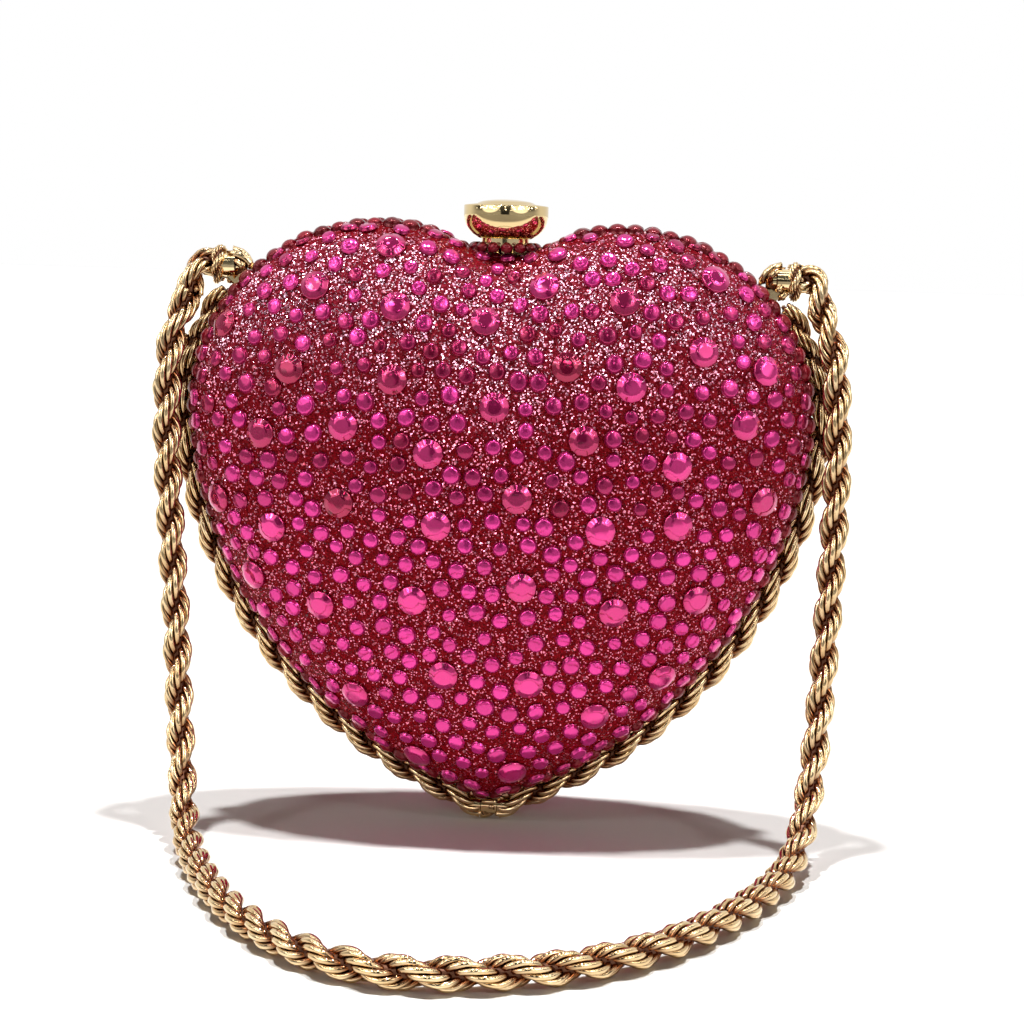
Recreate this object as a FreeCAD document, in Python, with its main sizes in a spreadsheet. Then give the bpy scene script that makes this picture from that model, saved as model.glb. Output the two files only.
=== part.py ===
import FreeCAD, Part
import math
import os
import Sketcher

# A heart shaped case that stands on its tip. The seam lies in the plane y = 0, the front half looks along -Y,
# and the origin is the lowest point of the tip.

vector = FreeCAD.Vector
document = FreeCAD.newDocument("heart_purse")
sheet = document.addObject("Spreadsheet::Sheet", "Sizes")

# Lengths in millimetres and angles in degrees. Text that starts with = follows the other sizes.
sizes = {
    "lobe_out": "31.8",
    "lobe_height": "109.2",
    "lobe_radius": "49.2",
    "cleft_radius": "22.3",
    "flank_radius": "116",
    "tip_radius": "7",
    "tip_height": "7.5",
    "crown_height": "92",
    "cleft_height": "=lobe_height + sqrt((lobe_radius + cleft_radius)^2 - lobe_out^2) - cleft_radius",
    "shell_depth": "26",
    "shell_wall": "2",
    "lining_gap": "0.3",
    "lining_wall": "0.8",
    "frame_depth": "3",
    "seam_gap": "0.15",
    "frame_inset": "1.5",
    "frame_width": "4",
    "overrun": "1",
    "fit": "0.05",
    "free_gap": "0.3",
    "stone_radius": "4",
    "stone_height": "2.2",
    "stone_lift": "0.15",
    "small_stone_radius": "2.1",
    "small_stone_height": "1",
    "small_stone_gap": "1",
    "rope_radius": "3.9",
    "rope_set": "3",
    "rope_turn": "16",
    "rope_end_angle": "20",
    "knuckle_radius": "2.4",
    "hinge_length": "12",
    "knuckle_middle": "4.2",
    "knuckle_gap": "0.2",
    "hinge_pin_radius": "0.9",
    "hinge_head_radius": "1.6",
    "hinge_head": "0.5",
    "leaf_wall": "1",
    "leaf_width": "10",
    "leaf_height": "6",
    "leaf_low": "=rope_radius + knuckle_radius + free_gap",
    "leaf_high": "=tip_height + leaf_height",
    "rivet_radius": "0.7",
    "rivet_head_radius": "1.1",
    "rivet_head": "0.7",
    "hinge_rivet_out": "3.5",
    "hinge_rivet_height": "=tip_height + 0.8 * leaf_height",
    "foot_radius": "7.5",
    "foot_wall": "1",
    "foot_lift": "1.6",
    "foot_low": "=cleft_height + foot_lift",
    "foot_high": "=foot_low + foot_wall",
    "collar_radius": "6.2",
    "collar_bore": "4.6",
    "collar_height": "4.4",
    "saddle_width": "12",
    "saddle_drop": "3.5",
    "saddle_low": "=cleft_height - saddle_drop",
    "guide_radius": "2.6",
    "guide_drop": "6.5",
    "guide_low": "=cleft_height - guide_drop",
    "stem_radius": "1.5",
    "press_travel": "1.2",
    "knob_low": "=foot_high + press_travel + free_gap",
    "knob_mouth": "7.2",
    "knob_rim": "11",
    "knob_bowl": "7.6",
    "knob_bowl_bend": "9.5",
    "knob_band": "0.9",
    "knob_dome": "1.6",
    "knob_dome_bend": "=(knob_rim^2 + knob_dome^2) / (2 * knob_dome)",
    "knob_shoulder": "=knob_low + knob_bowl",
    "knob_edge": "=knob_shoulder + knob_band",
    "knob_top": "=knob_edge + knob_dome",
    "knob_bore": "=collar_radius + free_gap",
    "knob_roof": "=foot_high + collar_height + press_travel + free_gap",
    "stem_grip": "2",
    "stem_top": "=knob_roof + stem_grip",
    "latch_radius": "3",
    "latch_wall": "1.3",
    "catch_drop": "12",
    "catch_low": "=cleft_height - catch_drop",
    "catch_wall": "1.2",
    "catch_width": "12",
    "catch_plate_top": "=cleft_height - frame_inset - 0.4 * frame_width",
    "tongue_width": "9.2",
    "tongue_reach": "4.4",
    "slot_width": "3.8",
    "hook_wall": "1",
    "hook_drop": "0.9",
    "latch_high": "=catch_low - hook_drop - free_gap",
    "catch_rivet_out": "4.3",
    "catch_rivet_height": "=cleft_height - frame_inset - 0.7 * frame_width",
    "spring_radius": "3.5",
    "spring_wire": "0.4",
    "spring_turns": "4",
    "lug_angle": "42",
    "lug_reach": "6",
    "lug_wall": "2.4",
    "lug_eye": "3.2",
    "lug_length": "4",
    "lug_out": "=lobe_out + (lobe_radius + lug_reach) * cos(lug_angle)",
    "lug_up": "=lobe_height + (lobe_radius + lug_reach) * sin(lug_angle)",
    "lug_back": "=0.5 * (seam_gap + frame_depth)",
    "strap_pin_radius": "1.3",
    "strap_pin_head": "0.8",
    "strap_pin_head_radius": "2.2",
    "strap_eye": "3.6",
    "strap_eye_wall": "2.4",
    "strap_radius": "4",
    "strap_cap_radius": "4.4",
    "strap_cap_length": "7",
    "strap_cap_out": "7.3",
    "strap_cap_fore": "0.5",
    "strap_cap_drop": "1.3",
    "strap_lead": "10.8",
}
for row, (name, text) in enumerate(sizes.items(), start=1):
    sheet.set("A%d" % row, name)
    sheet.set("B%d" % row, text)
    sheet.setAlias("B%d" % row, name)
document.recompute()
size = {name: float(sheet.get(name)) for name in sizes}

# The strap leaves its right cap straight, hangs outside the heart to the floor, lies there in a U in front of
# the tip, and rises outside the left flank to its left cap.
strap_fall_right = [
    (86.8, -8.4, 119.5),
    (87.6, -10.8, 100.0),
    (87.2, -13.2, 78.0),
    (86.2, -16.5, 55.0),
    (84.8, -22.0, 33.0),
    (82.2, -31.5, 15.0),
    (78.5, -46.0, 6.0),
]
strap_floor = [
    (72.5, -62.0, 4.0),
    (63.0, -83.5, 4.0),
    (48.5, -107.0, 4.0),
    (28.5, -125.5, 4.0),
    (7.0, -133.5, 4.0),
    (-13.0, -135.5, 4.0),
    (-32.0, -124.5, 4.0),
    (-48.0, -105.0, 4.0),
    (-59.0, -84.0, 4.0),
    (-67.0, -64.0, 4.0),
]
strap_rise_left = [
    (-73.0, -46.5, 6.0),
    (-76.8, -32.0, 15.0),
    (-79.8, -22.5, 33.0),
    (-82.0, -17.0, 55.0),
    (-84.4, -13.5, 78.0),
    (-86.4, -10.8, 100.0),
    (-86.7, -8.5, 119.5),
]
strap_cap_shares = (0.323, -0.397, -0.859)
strap_run_share = 0.45

# The large stones of the front, in shares of the lobe's reach to each side and of the height above the tip.
stone_shares = [
    (-0.35, 0.96), (-0.58, 0.89), (-0.32, 0.86), (-0.04, 0.84), (0.14, 0.90), (0.39, 0.88), (0.67, 0.92),
    (-0.88, 0.82), (0.84, 0.77), (0.64, 0.80), (0.22, 0.77), (-0.65, 0.75), (-0.32, 0.74), (0.00, 0.70),
    (0.42, 0.74), (-0.47, 0.66), (-0.20, 0.62), (0.28, 0.65), (0.57, 0.61), (0.78, 0.68), (-0.74, 0.64),
    (-0.48, 0.53), (-0.17, 0.50), (0.08, 0.55), (0.34, 0.50), (0.58, 0.51), (0.85, 0.55), (-0.89, 0.52),
    (-0.70, 0.48), (-0.77, 0.39), (-0.54, 0.35), (-0.24, 0.37), (0.10, 0.40), (0.39, 0.36), (0.65, 0.38),
    (-0.14, 0.24), (0.13, 0.23), (0.34, 0.17), (-0.43, 0.19), (0.55, 0.24), (-0.23, 0.08), (0.08, 0.06),
]
stone_sides = 8
stone_shape_shares = [(0, 1), (0.24, 1), (0.7, 0.82), (1, 0.46)]
small_stone_sides = 5
small_stone_shape_shares = [(0, 1), (1, 0.62)]
small_stone_tries = 1400
spread_shares = (0.75488, 0.56984)
near_share = 0.8
facing_share = 0.35
coil_steps = 8
section_angles = [0, 18, 36, 52, 66, 78]
lining_first_angle = 4

front = vector(0, -1, 0)
along_x = FreeCAD.Rotation(vector(0, 0, 1), vector(1, 0, 0))
along_front = FreeCAD.Rotation(vector(0, 0, 1), front)
along_back = FreeCAD.Rotation(vector(0, 0, 1), front * -1)


def bind(item, values):
    for path, text in values.items():
        item.setExpression(path, text)
    return item


def place(item, x, y, z):
    return bind(item, {"Placement.Base.x": x, "Placement.Base.y": y, "Placement.Base.z": z})


def block(name, low, span):
    item = bind(document.addObject("Part::Box", name), {"Length": span[0], "Width": span[1], "Height": span[2]})
    return place(item, *low)


def rod(name, radius, length, start, turn=None):
    item = bind(document.addObject("Part::Cylinder", name), {"Radius": radius, "Height": length})
    if turn is not None:
        item.Placement = FreeCAD.Placement(vector(0, 0, 0), turn)
    return place(item, *start)


def joined(name, pieces):
    item = document.addObject("Part::MultiFuse", name)
    item.Shapes = pieces
    return item


def cut(name, base, tools):
    item = document.addObject("Part::Cut", name)
    item.Base = base
    item.Tool = tools[0] if len(tools) == 1 else joined(name + "_cutter", tools)
    return item


def mirrored(name, source, normal):
    item = document.addObject("Part::Mirroring", name)
    item.Source = source
    item.Normal = normal
    return item


def body_named(name):
    return document.addObject("PartDesign::Body", name)


def sketch_on(body, name, role, lift):
    sketch = body.newObject("Sketcher::SketchObject", name)
    plane = [item for item in body.Origin.OriginFeatures if item.Role == role][0]
    sketch.AttachmentSupport = (plane, "")
    sketch.MapMode = "FlatFace"
    return bind(sketch, {"AttachmentOffset.Base.z": lift})


def hold(sketch, text, *constraint):
    number = sketch.addConstraint(Sketcher.Constraint(*constraint))
    if text:
        sketch.setExpression("Constraints[%d]" % number, text)


# The outline's centres for a share of the full heart, drawn towards the crown of the dome.
def heart_centres(share):
    crown = size["crown_height"]
    lobe = vector(size["lobe_out"], size["lobe_height"], 0)
    tip = vector(0, size["tip_height"] + size["tip_radius"], 0)
    cleft = vector(0, size["cleft_height"] + size["cleft_radius"], 0)
    span = lobe - tip
    near = size["flank_radius"] - size["tip_radius"]
    far = size["flank_radius"] - size["lobe_radius"]
    along = (near**2 - far**2 + span.Length**2) / (2 * span.Length)
    aside = math.sqrt(near**2 - along**2)
    unit = vector(span).normalize()
    flank = tip + unit * along + vector(-unit.y, unit.x, 0) * aside
    points = {"lobe": lobe, "tip": tip, "cleft": cleft, "flank": flank}
    return {name: vector(share * at.x, crown + share * (at.y - crown), 0) for name, at in points.items()}


def heading(start, end):
    return math.atan2(end.y - start.y, end.x - start.x)


def add_heart(sketch, share, inset, inset_text):
    at = heart_centres(share)
    lobe_left = vector(-at["lobe"].x, at["lobe"].y, 0)
    flank_left = vector(-at["flank"].x, at["flank"].y, 0)
    radius = {name: share * (size[name + "_radius"] - inset) for name in ("lobe", "flank", "tip")}
    radius["cleft"] = share * (size["cleft_radius"] + inset)
    to_cleft = heading(at["lobe"], at["cleft"])
    to_lobe = heading(at["flank"], at["lobe"])
    to_tip = heading(at["flank"], at["tip"])
    half = math.pi
    arcs = [
        (at["lobe"], radius["lobe"], to_lobe, to_cleft),
        (at["cleft"], radius["cleft"], -to_cleft, to_cleft - half),
        (lobe_left, radius["lobe"], half - to_cleft, half - to_lobe),
        (flank_left, radius["flank"], half - to_lobe, half - to_tip),
        (at["tip"], radius["tip"], half - to_tip, 2 * half + to_tip),
        (at["flank"], radius["flank"], to_tip, to_lobe),
    ]
    axis = vector(0, 0, 1)
    curves = []
    for centre, reach, begin, end in arcs:
        curves.append(Part.ArcOfCircle(Part.Circle(centre, axis, reach), begin, end))
    lobe, cleft, lobe_two, flank_two, tip, flank = sketch.addGeometry(curves, False)
    hold(sketch, "", "Tangent", lobe, 2, cleft, 2)
    hold(sketch, "", "Tangent", cleft, 1, lobe_two, 1)
    hold(sketch, "", "Tangent", lobe_two, 2, flank_two, 1)
    hold(sketch, "", "Tangent", flank_two, 2, tip, 1)
    hold(sketch, "", "Tangent", tip, 2, flank, 1)
    hold(sketch, "", "Tangent", flank, 2, lobe, 1)
    hold(sketch, "", "PointOnObject", cleft, 3, -2)
    hold(sketch, "", "PointOnObject", tip, 3, -2)
    hold(sketch, "", "Symmetric", lobe, 3, lobe_two, 3, -2)
    hold(sketch, "", "Equal", flank, flank_two)
    drawn = "Sizes.crown_height + %.9f * (%s - Sizes.crown_height)"
    hold(sketch, "%.9f * Sizes.lobe_out" % share, "DistanceX", -1, 1, lobe, 3, at["lobe"].x)
    hold(sketch, drawn % (share, "Sizes.lobe_height"), "DistanceY", -1, 1, lobe, 3, at["lobe"].y)
    tip_text = drawn % (share, "Sizes.tip_height + Sizes.tip_radius")
    hold(sketch, tip_text, "DistanceY", -1, 1, tip, 3, at["tip"].y)
    rounds = ((lobe, "lobe", "-"), (flank, "flank", "-"), (tip, "tip", "-"), (cleft, "cleft", "+"))
    for number, name, sign in rounds:
        text = "%.9f * (Sizes.%s_radius %s (%s))" % (share, name, sign, inset_text)
        hold(sketch, text, "Radius", number, radius[name])


# A domed heart cup that is open at the seam: an outer loft with an inner loft taken out of it.
def heart_cup(name, outer, inner, angles):
    body = body_named(name)
    for kind, (inset, inset_text) in (("Additive", outer), ("Subtractive", inner)):
        sections = []
        for number, angle in enumerate(angles):
            share = math.cos(math.radians(angle))
            rise = math.sin(math.radians(angle))
            drop_text = outer[1] if number == 0 else inset_text
            lift = "Sizes.frame_depth + %.9f * (Sizes.shell_depth - (%s))" % (rise, drop_text)
            sketch = sketch_on(body, "%s_%s_%d" % (name, kind.lower(), number), "XZ_Plane", lift)
            add_heart(sketch, share, inset, inset_text)
            sections.append(sketch)
        loft = body.newObject("PartDesign::%sLoft" % kind, "%s_%s_loft" % (name, kind.lower()))
        loft.Profile = sections[0]
        loft.Sections = sections[1:]
        for sketch in sections:
            sketch.Visibility = False
        document.recompute()
    return body


def heart_ring(name):
    body = body_named(name)
    sketch = sketch_on(body, name + "_outline", "XZ_Plane", "Sizes.seam_gap")
    add_heart(sketch, 1, size["frame_inset"], "Sizes.frame_inset")
    add_heart(sketch, 1, size["frame_inset"] + size["frame_width"], "Sizes.frame_inset + Sizes.frame_width")
    pad = body.newObject("PartDesign::Pad", name + "_pad")
    pad.Profile = sketch
    bind(pad, {"Length": "Sizes.frame_depth - Sizes.seam_gap"})
    document.recompute()
    return body


# A closed outline through points named by sheet sizes. A bend makes the edge to the next point an arc.
def add_profile(sketch, corners):
    points = [vector(size.get(x, 0), size.get(y, 0), 0) for x, y, bend in corners]
    edges = []
    for number, (x, y, bend) in enumerate(corners):
        here = points[number]
        there = points[(number + 1) % len(points)]
        if not bend:
            edges.append((sketch.addGeometry(Part.LineSegment(here, there), False), 1, 2))
            continue
        chord = there - here
        reach = size[bend]
        aside = math.sqrt(reach**2 - chord.Length**2 / 4)
        unit = vector(chord).normalize()
        centre = here + chord * 0.5 + vector(-unit.y, unit.x, 0) * aside
        circle = Part.Circle(centre, vector(0, 0, 1), reach)
        arc = Part.ArcOfCircle(circle, heading(centre, here), heading(centre, there))
        edge = sketch.addGeometry(arc, False)
        edges.append((edge, 1, 2))
        hold(sketch, "Sizes." + bend, "Radius", edge, reach)
    for number, (edge, first, last) in enumerate(edges):
        follower = edges[(number + 1) % len(edges)]
        hold(sketch, "", "Coincident", edge, last, follower[0], follower[1])
        x, y, bend = corners[number]
        at = points[number]
        for kind, name, value, axis in (("DistanceX", x, at.x, -2), ("DistanceY", y, at.y, -1)):
            if name:
                hold(sketch, "Sizes." + name, kind, -1, 1, edge, first, value)
            else:
                hold(sketch, "", "PointOnObject", edge, first, axis)


def turned(name, corners):
    body = body_named(name)
    sketch = sketch_on(body, name + "_profile", "XZ_Plane", "0")
    add_profile(sketch, corners)
    turn = body.newObject("PartDesign::Revolution", name + "_turn")
    turn.Profile = sketch
    turn.ReferenceAxis = (sketch, ["V_Axis"])
    turn.Angle = 360
    document.recompute()
    return body


# Shells and linings.
wall_text = "Sizes.shell_wall"
lining_outer_text = "Sizes.shell_wall + Sizes.lining_gap"
lining_inner_text = "Sizes.shell_wall + Sizes.lining_gap + Sizes.lining_wall"
lining_outer = size["shell_wall"] + size["lining_gap"]
lining_inner = lining_outer + size["lining_wall"]
front_shell = heart_cup("front_shell", (0, "0"), (size["shell_wall"], wall_text), section_angles)
front_lining = heart_cup(
    "front_lining",
    (lining_outer, lining_outer_text),
    (lining_inner, lining_inner_text),
    [lining_first_angle] + section_angles[1:],
)
back_shell = mirrored("back_shell", front_shell, front)
back_lining = mirrored("back_lining", front_lining, front)

# Frames, with the seats of the hinge leaves, the clasp and the rivets.
half_leaf = "0.5 * Sizes.leaf_width"


def hinge_seat(side, sign):
    low_y = "-Sizes.seam_gap - Sizes.leaf_wall" if sign < 0 else "Sizes.seam_gap - Sizes.overrun"
    wide = "Sizes.leaf_width + 2 * Sizes.fit"
    high = "Sizes.leaf_high + Sizes.fit - Sizes.leaf_low"
    return block(
        side + "_leaf_seat",
        ("-%s - Sizes.fit" % half_leaf, low_y, "Sizes.leaf_low"),
        (wide, "Sizes.leaf_wall + Sizes.overrun", high),
    )


def rivet_holes(name, out, height, turn_front):
    holes = []
    radius = "Sizes.rivet_radius + Sizes.fit"
    length = "Sizes.frame_depth + 4 * Sizes.overrun"
    turn = along_front if turn_front else along_back
    for number, sign in enumerate(("", "-")):
        start = (sign + out, "Sizes.overrun" if turn_front else "0", height)
        holes.append(rod("%s_%d" % (name, number), radius, length, start, turn))
    return holes


front_ring = heart_ring("front_ring")
back_ring = mirrored("back_ring", front_ring, front)
frame_through = "Sizes.frame_depth + 2 * Sizes.overrun"
front_face = "-Sizes.frame_depth - Sizes.overrun"
guide_start = "Sizes.guide_low - Sizes.overrun"
front_notch = block(
    "front_clasp_notch",
    ("-0.5 * Sizes.saddle_width - Sizes.free_gap", front_face, "Sizes.saddle_low - Sizes.free_gap"),
    ("Sizes.saddle_width + 2 * Sizes.free_gap", frame_through, "2 * Sizes.saddle_drop"),
)
front_guide_way = block(
    "front_guide_way",
    ("-Sizes.guide_radius - Sizes.free_gap", front_face, guide_start),
    ("2 * Sizes.guide_radius + 2 * Sizes.free_gap", frame_through, "2 * Sizes.guide_drop"),
)
back_notch = block(
    "back_clasp_notch",
    ("-0.5 * Sizes.saddle_width - Sizes.fit", "-Sizes.overrun", "Sizes.saddle_low"),
    ("Sizes.saddle_width + 2 * Sizes.fit", frame_through, "2 * Sizes.saddle_drop"),
)
back_guide_way = rod(
    "back_guide_way",
    "Sizes.guide_radius + Sizes.fit",
    "2 * Sizes.guide_drop",
    ("0", "0", guide_start),
)
hinge_rivet_at = ("Sizes.hinge_rivet_out", "Sizes.hinge_rivet_height")
catch_rivet_at = ("Sizes.catch_rivet_out", "Sizes.catch_rivet_height")
front_holes = rivet_holes("front_hinge_hole", *hinge_rivet_at, True)
front_holes += rivet_holes("catch_hole", *catch_rivet_at, True)
back_holes = rivet_holes("back_hinge_hole", *hinge_rivet_at, False)
front_ways = [hinge_seat("front", -1), front_notch, front_guide_way]
back_ways = [hinge_seat("back", 1), back_notch, back_guide_way]
front_frame = cut("front_frame", front_ring, front_ways + front_holes)
back_frame = cut("back_frame", back_ring, back_ways + back_holes)


# Hinge at the tip, with its axis in the middle of the rope chain.
def leaf(name, low_y, spans):
    plate = block(
        name + "_plate",
        ("-" + half_leaf, low_y, "Sizes.leaf_low"),
        ("Sizes.leaf_width", "Sizes.leaf_wall", "Sizes.leaf_high - Sizes.leaf_low"),
    )
    pieces = [plate]
    web_height = "Sizes.leaf_low + Sizes.free_gap - Sizes.rope_radius"
    for number, (start, length) in enumerate(spans):
        axis_start = (start, "0", "Sizes.rope_radius")
        web_start = (start, low_y, "Sizes.rope_radius")
        knuckle_name = "%s_knuckle_%d" % (name, number)
        web_name = "%s_web_%d" % (name, number)
        pieces.append(rod(knuckle_name, "Sizes.knuckle_radius", length, axis_start, along_x))
        pieces.append(block(web_name, web_start, (length, "Sizes.leaf_wall", web_height)))
    bore = rod(
        name + "_bore",
        "Sizes.hinge_pin_radius + Sizes.fit",
        "2 * Sizes.hinge_length",
        ("-Sizes.hinge_length", "0", "Sizes.rope_radius"),
        along_x,
    )
    holes = rivet_holes(name + "_hole", *hinge_rivet_at, low_y.startswith("-"))
    return cut(name, joined(name + "_blank", pieces), [bore] + holes)


outer_start = "0.5 * Sizes.knuckle_middle + Sizes.knuckle_gap"
outer_length = "0.5 * Sizes.hinge_length - 0.5 * Sizes.knuckle_middle - Sizes.knuckle_gap"
hinge_front_leaf = leaf(
    "hinge_front_leaf",
    "-Sizes.seam_gap - Sizes.leaf_wall",
    [("-0.5 * Sizes.knuckle_middle", "Sizes.knuckle_middle")],
)
hinge_back_leaf = leaf(
    "hinge_back_leaf",
    "Sizes.seam_gap",
    [(outer_start, outer_length), ("-0.5 * Sizes.hinge_length", outer_length)],
)
pin_start = ("-0.5 * Sizes.hinge_length - Sizes.hinge_head", "0", "Sizes.rope_radius")
pin_end = ("0.5 * Sizes.hinge_length", "0", "Sizes.rope_radius")
pin_span = "Sizes.hinge_length + 2 * Sizes.hinge_head"
hinge_pin = joined(
    "hinge_pin",
    [
        rod("hinge_pin_shank", "Sizes.hinge_pin_radius", pin_span, pin_start, along_x),
        rod("hinge_pin_head", "Sizes.hinge_head_radius", "Sizes.hinge_head", pin_end, along_x),
        rod("hinge_pin_tail", "Sizes.hinge_head_radius", "Sizes.hinge_head", pin_start, along_x),
    ],
)


# Rivets run from the seam face through the frame, with a head on the inner side.
def rivets(name, out, height, through, sign):
    pieces = []
    turn = along_front if sign < 0 else along_back
    mark = "-" if sign < 0 else ""
    length = "%s - Sizes.seam_gap" % through
    for number, side in enumerate(("", "-")):
        shank_start = (side + out, mark + "Sizes.seam_gap", height)
        head_start = (side + out, "%s(%s)" % (mark, through), height)
        pieces.append(rod("%s_shank_%d" % (name, number), "Sizes.rivet_radius", length, shank_start, turn))
        head_name = "%s_head_%d" % (name, number)
        pieces.append(rod(head_name, "Sizes.rivet_head_radius", "Sizes.rivet_head", head_start, turn))
    return joined(name, pieces)


hinge_front_rivets = rivets("hinge_front_rivets", *hinge_rivet_at, "Sizes.frame_depth", -1)
hinge_back_rivets = rivets("hinge_back_rivets", *hinge_rivet_at, "Sizes.frame_depth", 1)
catch_through = "Sizes.frame_depth + Sizes.leaf_wall"
clasp_catch_rivets = rivets("clasp_catch_rivets", *catch_rivet_at, catch_through, -1)

# Press clasp: base with a collar and a guide, knob, stem with a latch disc, spring, and the front half's catch.
saddle_depth = "Sizes.frame_depth - Sizes.seam_gap - Sizes.fit"
guide_span = "Sizes.foot_high - Sizes.guide_low"
base_blank = joined(
    "clasp_base_blank",
    [
        block(
            "clasp_saddle",
            ("-0.5 * Sizes.saddle_width", "Sizes.seam_gap", "Sizes.saddle_low"),
            ("Sizes.saddle_width", saddle_depth, "Sizes.foot_high - Sizes.saddle_low"),
        ),
        rod("clasp_foot", "Sizes.foot_radius", "Sizes.foot_wall", ("0", "0", "Sizes.foot_low")),
        rod("clasp_collar", "Sizes.collar_radius", "Sizes.collar_height", ("0", "0", "Sizes.foot_high")),
        rod("clasp_guide", "Sizes.guide_radius", guide_span, ("0", "0", "Sizes.guide_low")),
    ],
)
collar_deep = "Sizes.collar_height + Sizes.overrun"
stem_bore = "Sizes.stem_radius + Sizes.fit"
clasp_base = cut(
    "clasp_base",
    base_blank,
    [
        rod("clasp_collar_bore", "Sizes.collar_bore", collar_deep, ("0", "0", "Sizes.foot_high")),
        rod("clasp_stem_bore", stem_bore, "4 * Sizes.guide_drop", ("0", "0", guide_start)),
    ],
)
clasp_knob = turned(
    "clasp_knob",
    [
        ("stem_radius", "knob_roof", ""),
        ("knob_bore", "knob_roof", ""),
        ("knob_bore", "knob_low", ""),
        ("knob_mouth", "knob_low", "knob_bowl_bend"),
        ("knob_rim", "knob_shoulder", ""),
        ("knob_rim", "knob_edge", "knob_dome_bend"),
        ("", "knob_top", ""),
        ("", "stem_top", ""),
        ("stem_radius", "stem_top", ""),
    ],
)
stem_span = "Sizes.stem_top - Sizes.latch_high"
latch_start = ("0", "0", "Sizes.latch_high - Sizes.latch_wall")
clasp_stem = joined(
    "clasp_stem",
    [
        rod("clasp_stem_shank", "Sizes.stem_radius", stem_span, ("0", "0", "Sizes.latch_high")),
        rod("clasp_latch", "Sizes.latch_radius", "Sizes.latch_wall", latch_start),
    ],
)
catch_face = "-Sizes.frame_depth - Sizes.leaf_wall"
tongue_span = "Sizes.tongue_reach + Sizes.frame_depth + Sizes.leaf_wall"
hook_low = "Sizes.catch_low - Sizes.hook_drop"
catch_blank = joined(
    "clasp_catch_blank",
    [
        block(
            "catch_plate",
            ("-0.5 * Sizes.catch_width", catch_face, "Sizes.catch_low"),
            ("Sizes.catch_width", "Sizes.leaf_wall", "Sizes.catch_plate_top - Sizes.catch_low"),
        ),
        block(
            "catch_tongue",
            ("-0.5 * Sizes.tongue_width", catch_face, "Sizes.catch_low"),
            ("Sizes.tongue_width", tongue_span, "Sizes.catch_wall"),
        ),
        block(
            "catch_hook",
            ("-0.5 * Sizes.tongue_width", "Sizes.tongue_reach - Sizes.hook_wall", hook_low),
            ("Sizes.tongue_width", "Sizes.hook_wall", "Sizes.hook_drop + Sizes.catch_wall"),
        ),
    ],
)
catch_slot = block(
    "catch_slot",
    ("-0.5 * Sizes.slot_width", "-0.5 * Sizes.slot_width - Sizes.free_gap", hook_low + " - Sizes.hook_drop"),
    ("Sizes.slot_width", "2 * Sizes.tongue_reach", "4 * Sizes.catch_wall"),
)
catch_holes = rivet_holes("catch_plate_hole", *catch_rivet_at, True)
clasp_catch = cut("clasp_catch", catch_blank, [catch_slot] + catch_holes)


# An arc that touches both legs of a corner, from one leg's end to the other's. The legs are equally long.
def corner_arc(start, corner, end):
    back = start - corner
    ahead = end - corner
    half_turn = (math.pi - back.getAngle(ahead)) / 2
    bend = back.Length / math.tan(half_turn)
    inward = (back + ahead).normalize()
    return Part.Arc(start, corner + inward * (bend / math.cos(half_turn) - bend), end).toShape()


# A round tube along edges that touch.
def tube(name, edges, radius):
    path = Part.Wire(edges)
    first = edges[0]
    heading_out = first.tangentAt(first.FirstParameter)
    section = Part.Wire(Part.makeCircle(radius, first.Vertexes[0].Point, heading_out))
    item = document.addObject("Part::Feature", name)
    item.Shape = path.makePipeShell([section], True, False)
    print(name, "length", round(path.Length, 1))
    return item


# The spring's coils are arcs that touch the sides of a many-sided spiral.
spring_height = size["knob_roof"] - size["foot_high"] - 2 * size["spring_wire"] - 2 * size["fit"]
coil_count = int(size["spring_turns"]) * coil_steps
coil_corners = []
for number in range(coil_count + 2):
    angle = 2 * math.pi * number / coil_steps
    out = size["spring_radius"] / math.cos(math.pi / coil_steps)
    rise = spring_height * (number - 0.5) / coil_count
    coil_corners.append(vector(out * math.cos(angle), out * math.sin(angle), rise))
coil_joints = [(here + after) * 0.5 for here, after in zip(coil_corners, coil_corners[1:])]
coil_edges = []
for start, corner, end in zip(coil_joints, coil_corners[1:], coil_joints[1:]):
    coil_edges.append(corner_arc(start, corner, end))
clasp_spring = tube("clasp_spring", coil_edges, size["spring_wire"])
place(clasp_spring, "0", "0", "Sizes.foot_high + Sizes.spring_wire + Sizes.fit")

# Shoulders: a lug on each side of the back frame, a pin through its eye, and the strap's end cap.
frame_prism_body = body_named("frame_prism")
prism_sketch = sketch_on(frame_prism_body, "frame_prism_outline", "XZ_Plane", "-2 * Sizes.frame_depth")
add_heart(prism_sketch, 1, size["frame_inset"] - size["fit"], "Sizes.frame_inset - Sizes.fit")
prism_pad = frame_prism_body.newObject("PartDesign::Pad", "frame_prism_pad")
prism_pad.Profile = prism_sketch
bind(prism_pad, {"Length": "3 * Sizes.frame_depth"})
document.recompute()
lug_tab = document.addObject("Part::Box", "lug_tab")
bind(lug_tab, {"Length": "2 * Sizes.lug_reach", "Width": "Sizes.lug_wall", "Height": "2 * Sizes.lug_wall"})
lug_lean = FreeCAD.Rotation(vector(0, 1, 0), -size["lug_angle"])
lug_tab.Placement = FreeCAD.Placement(vector(0, 0, 0), lug_lean)
place(
    lug_tab,
    "Sizes.lug_out - 2 * Sizes.lug_reach * cos(Sizes.lug_angle) + Sizes.lug_wall * sin(Sizes.lug_angle)",
    "Sizes.lug_back - 0.5 * Sizes.lug_wall",
    "Sizes.lug_up - 2 * Sizes.lug_reach * sin(Sizes.lug_angle) - Sizes.lug_wall * cos(Sizes.lug_angle)",
)


def on_lug(x):
    return (x, "Sizes.lug_back", "Sizes.lug_up")


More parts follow.
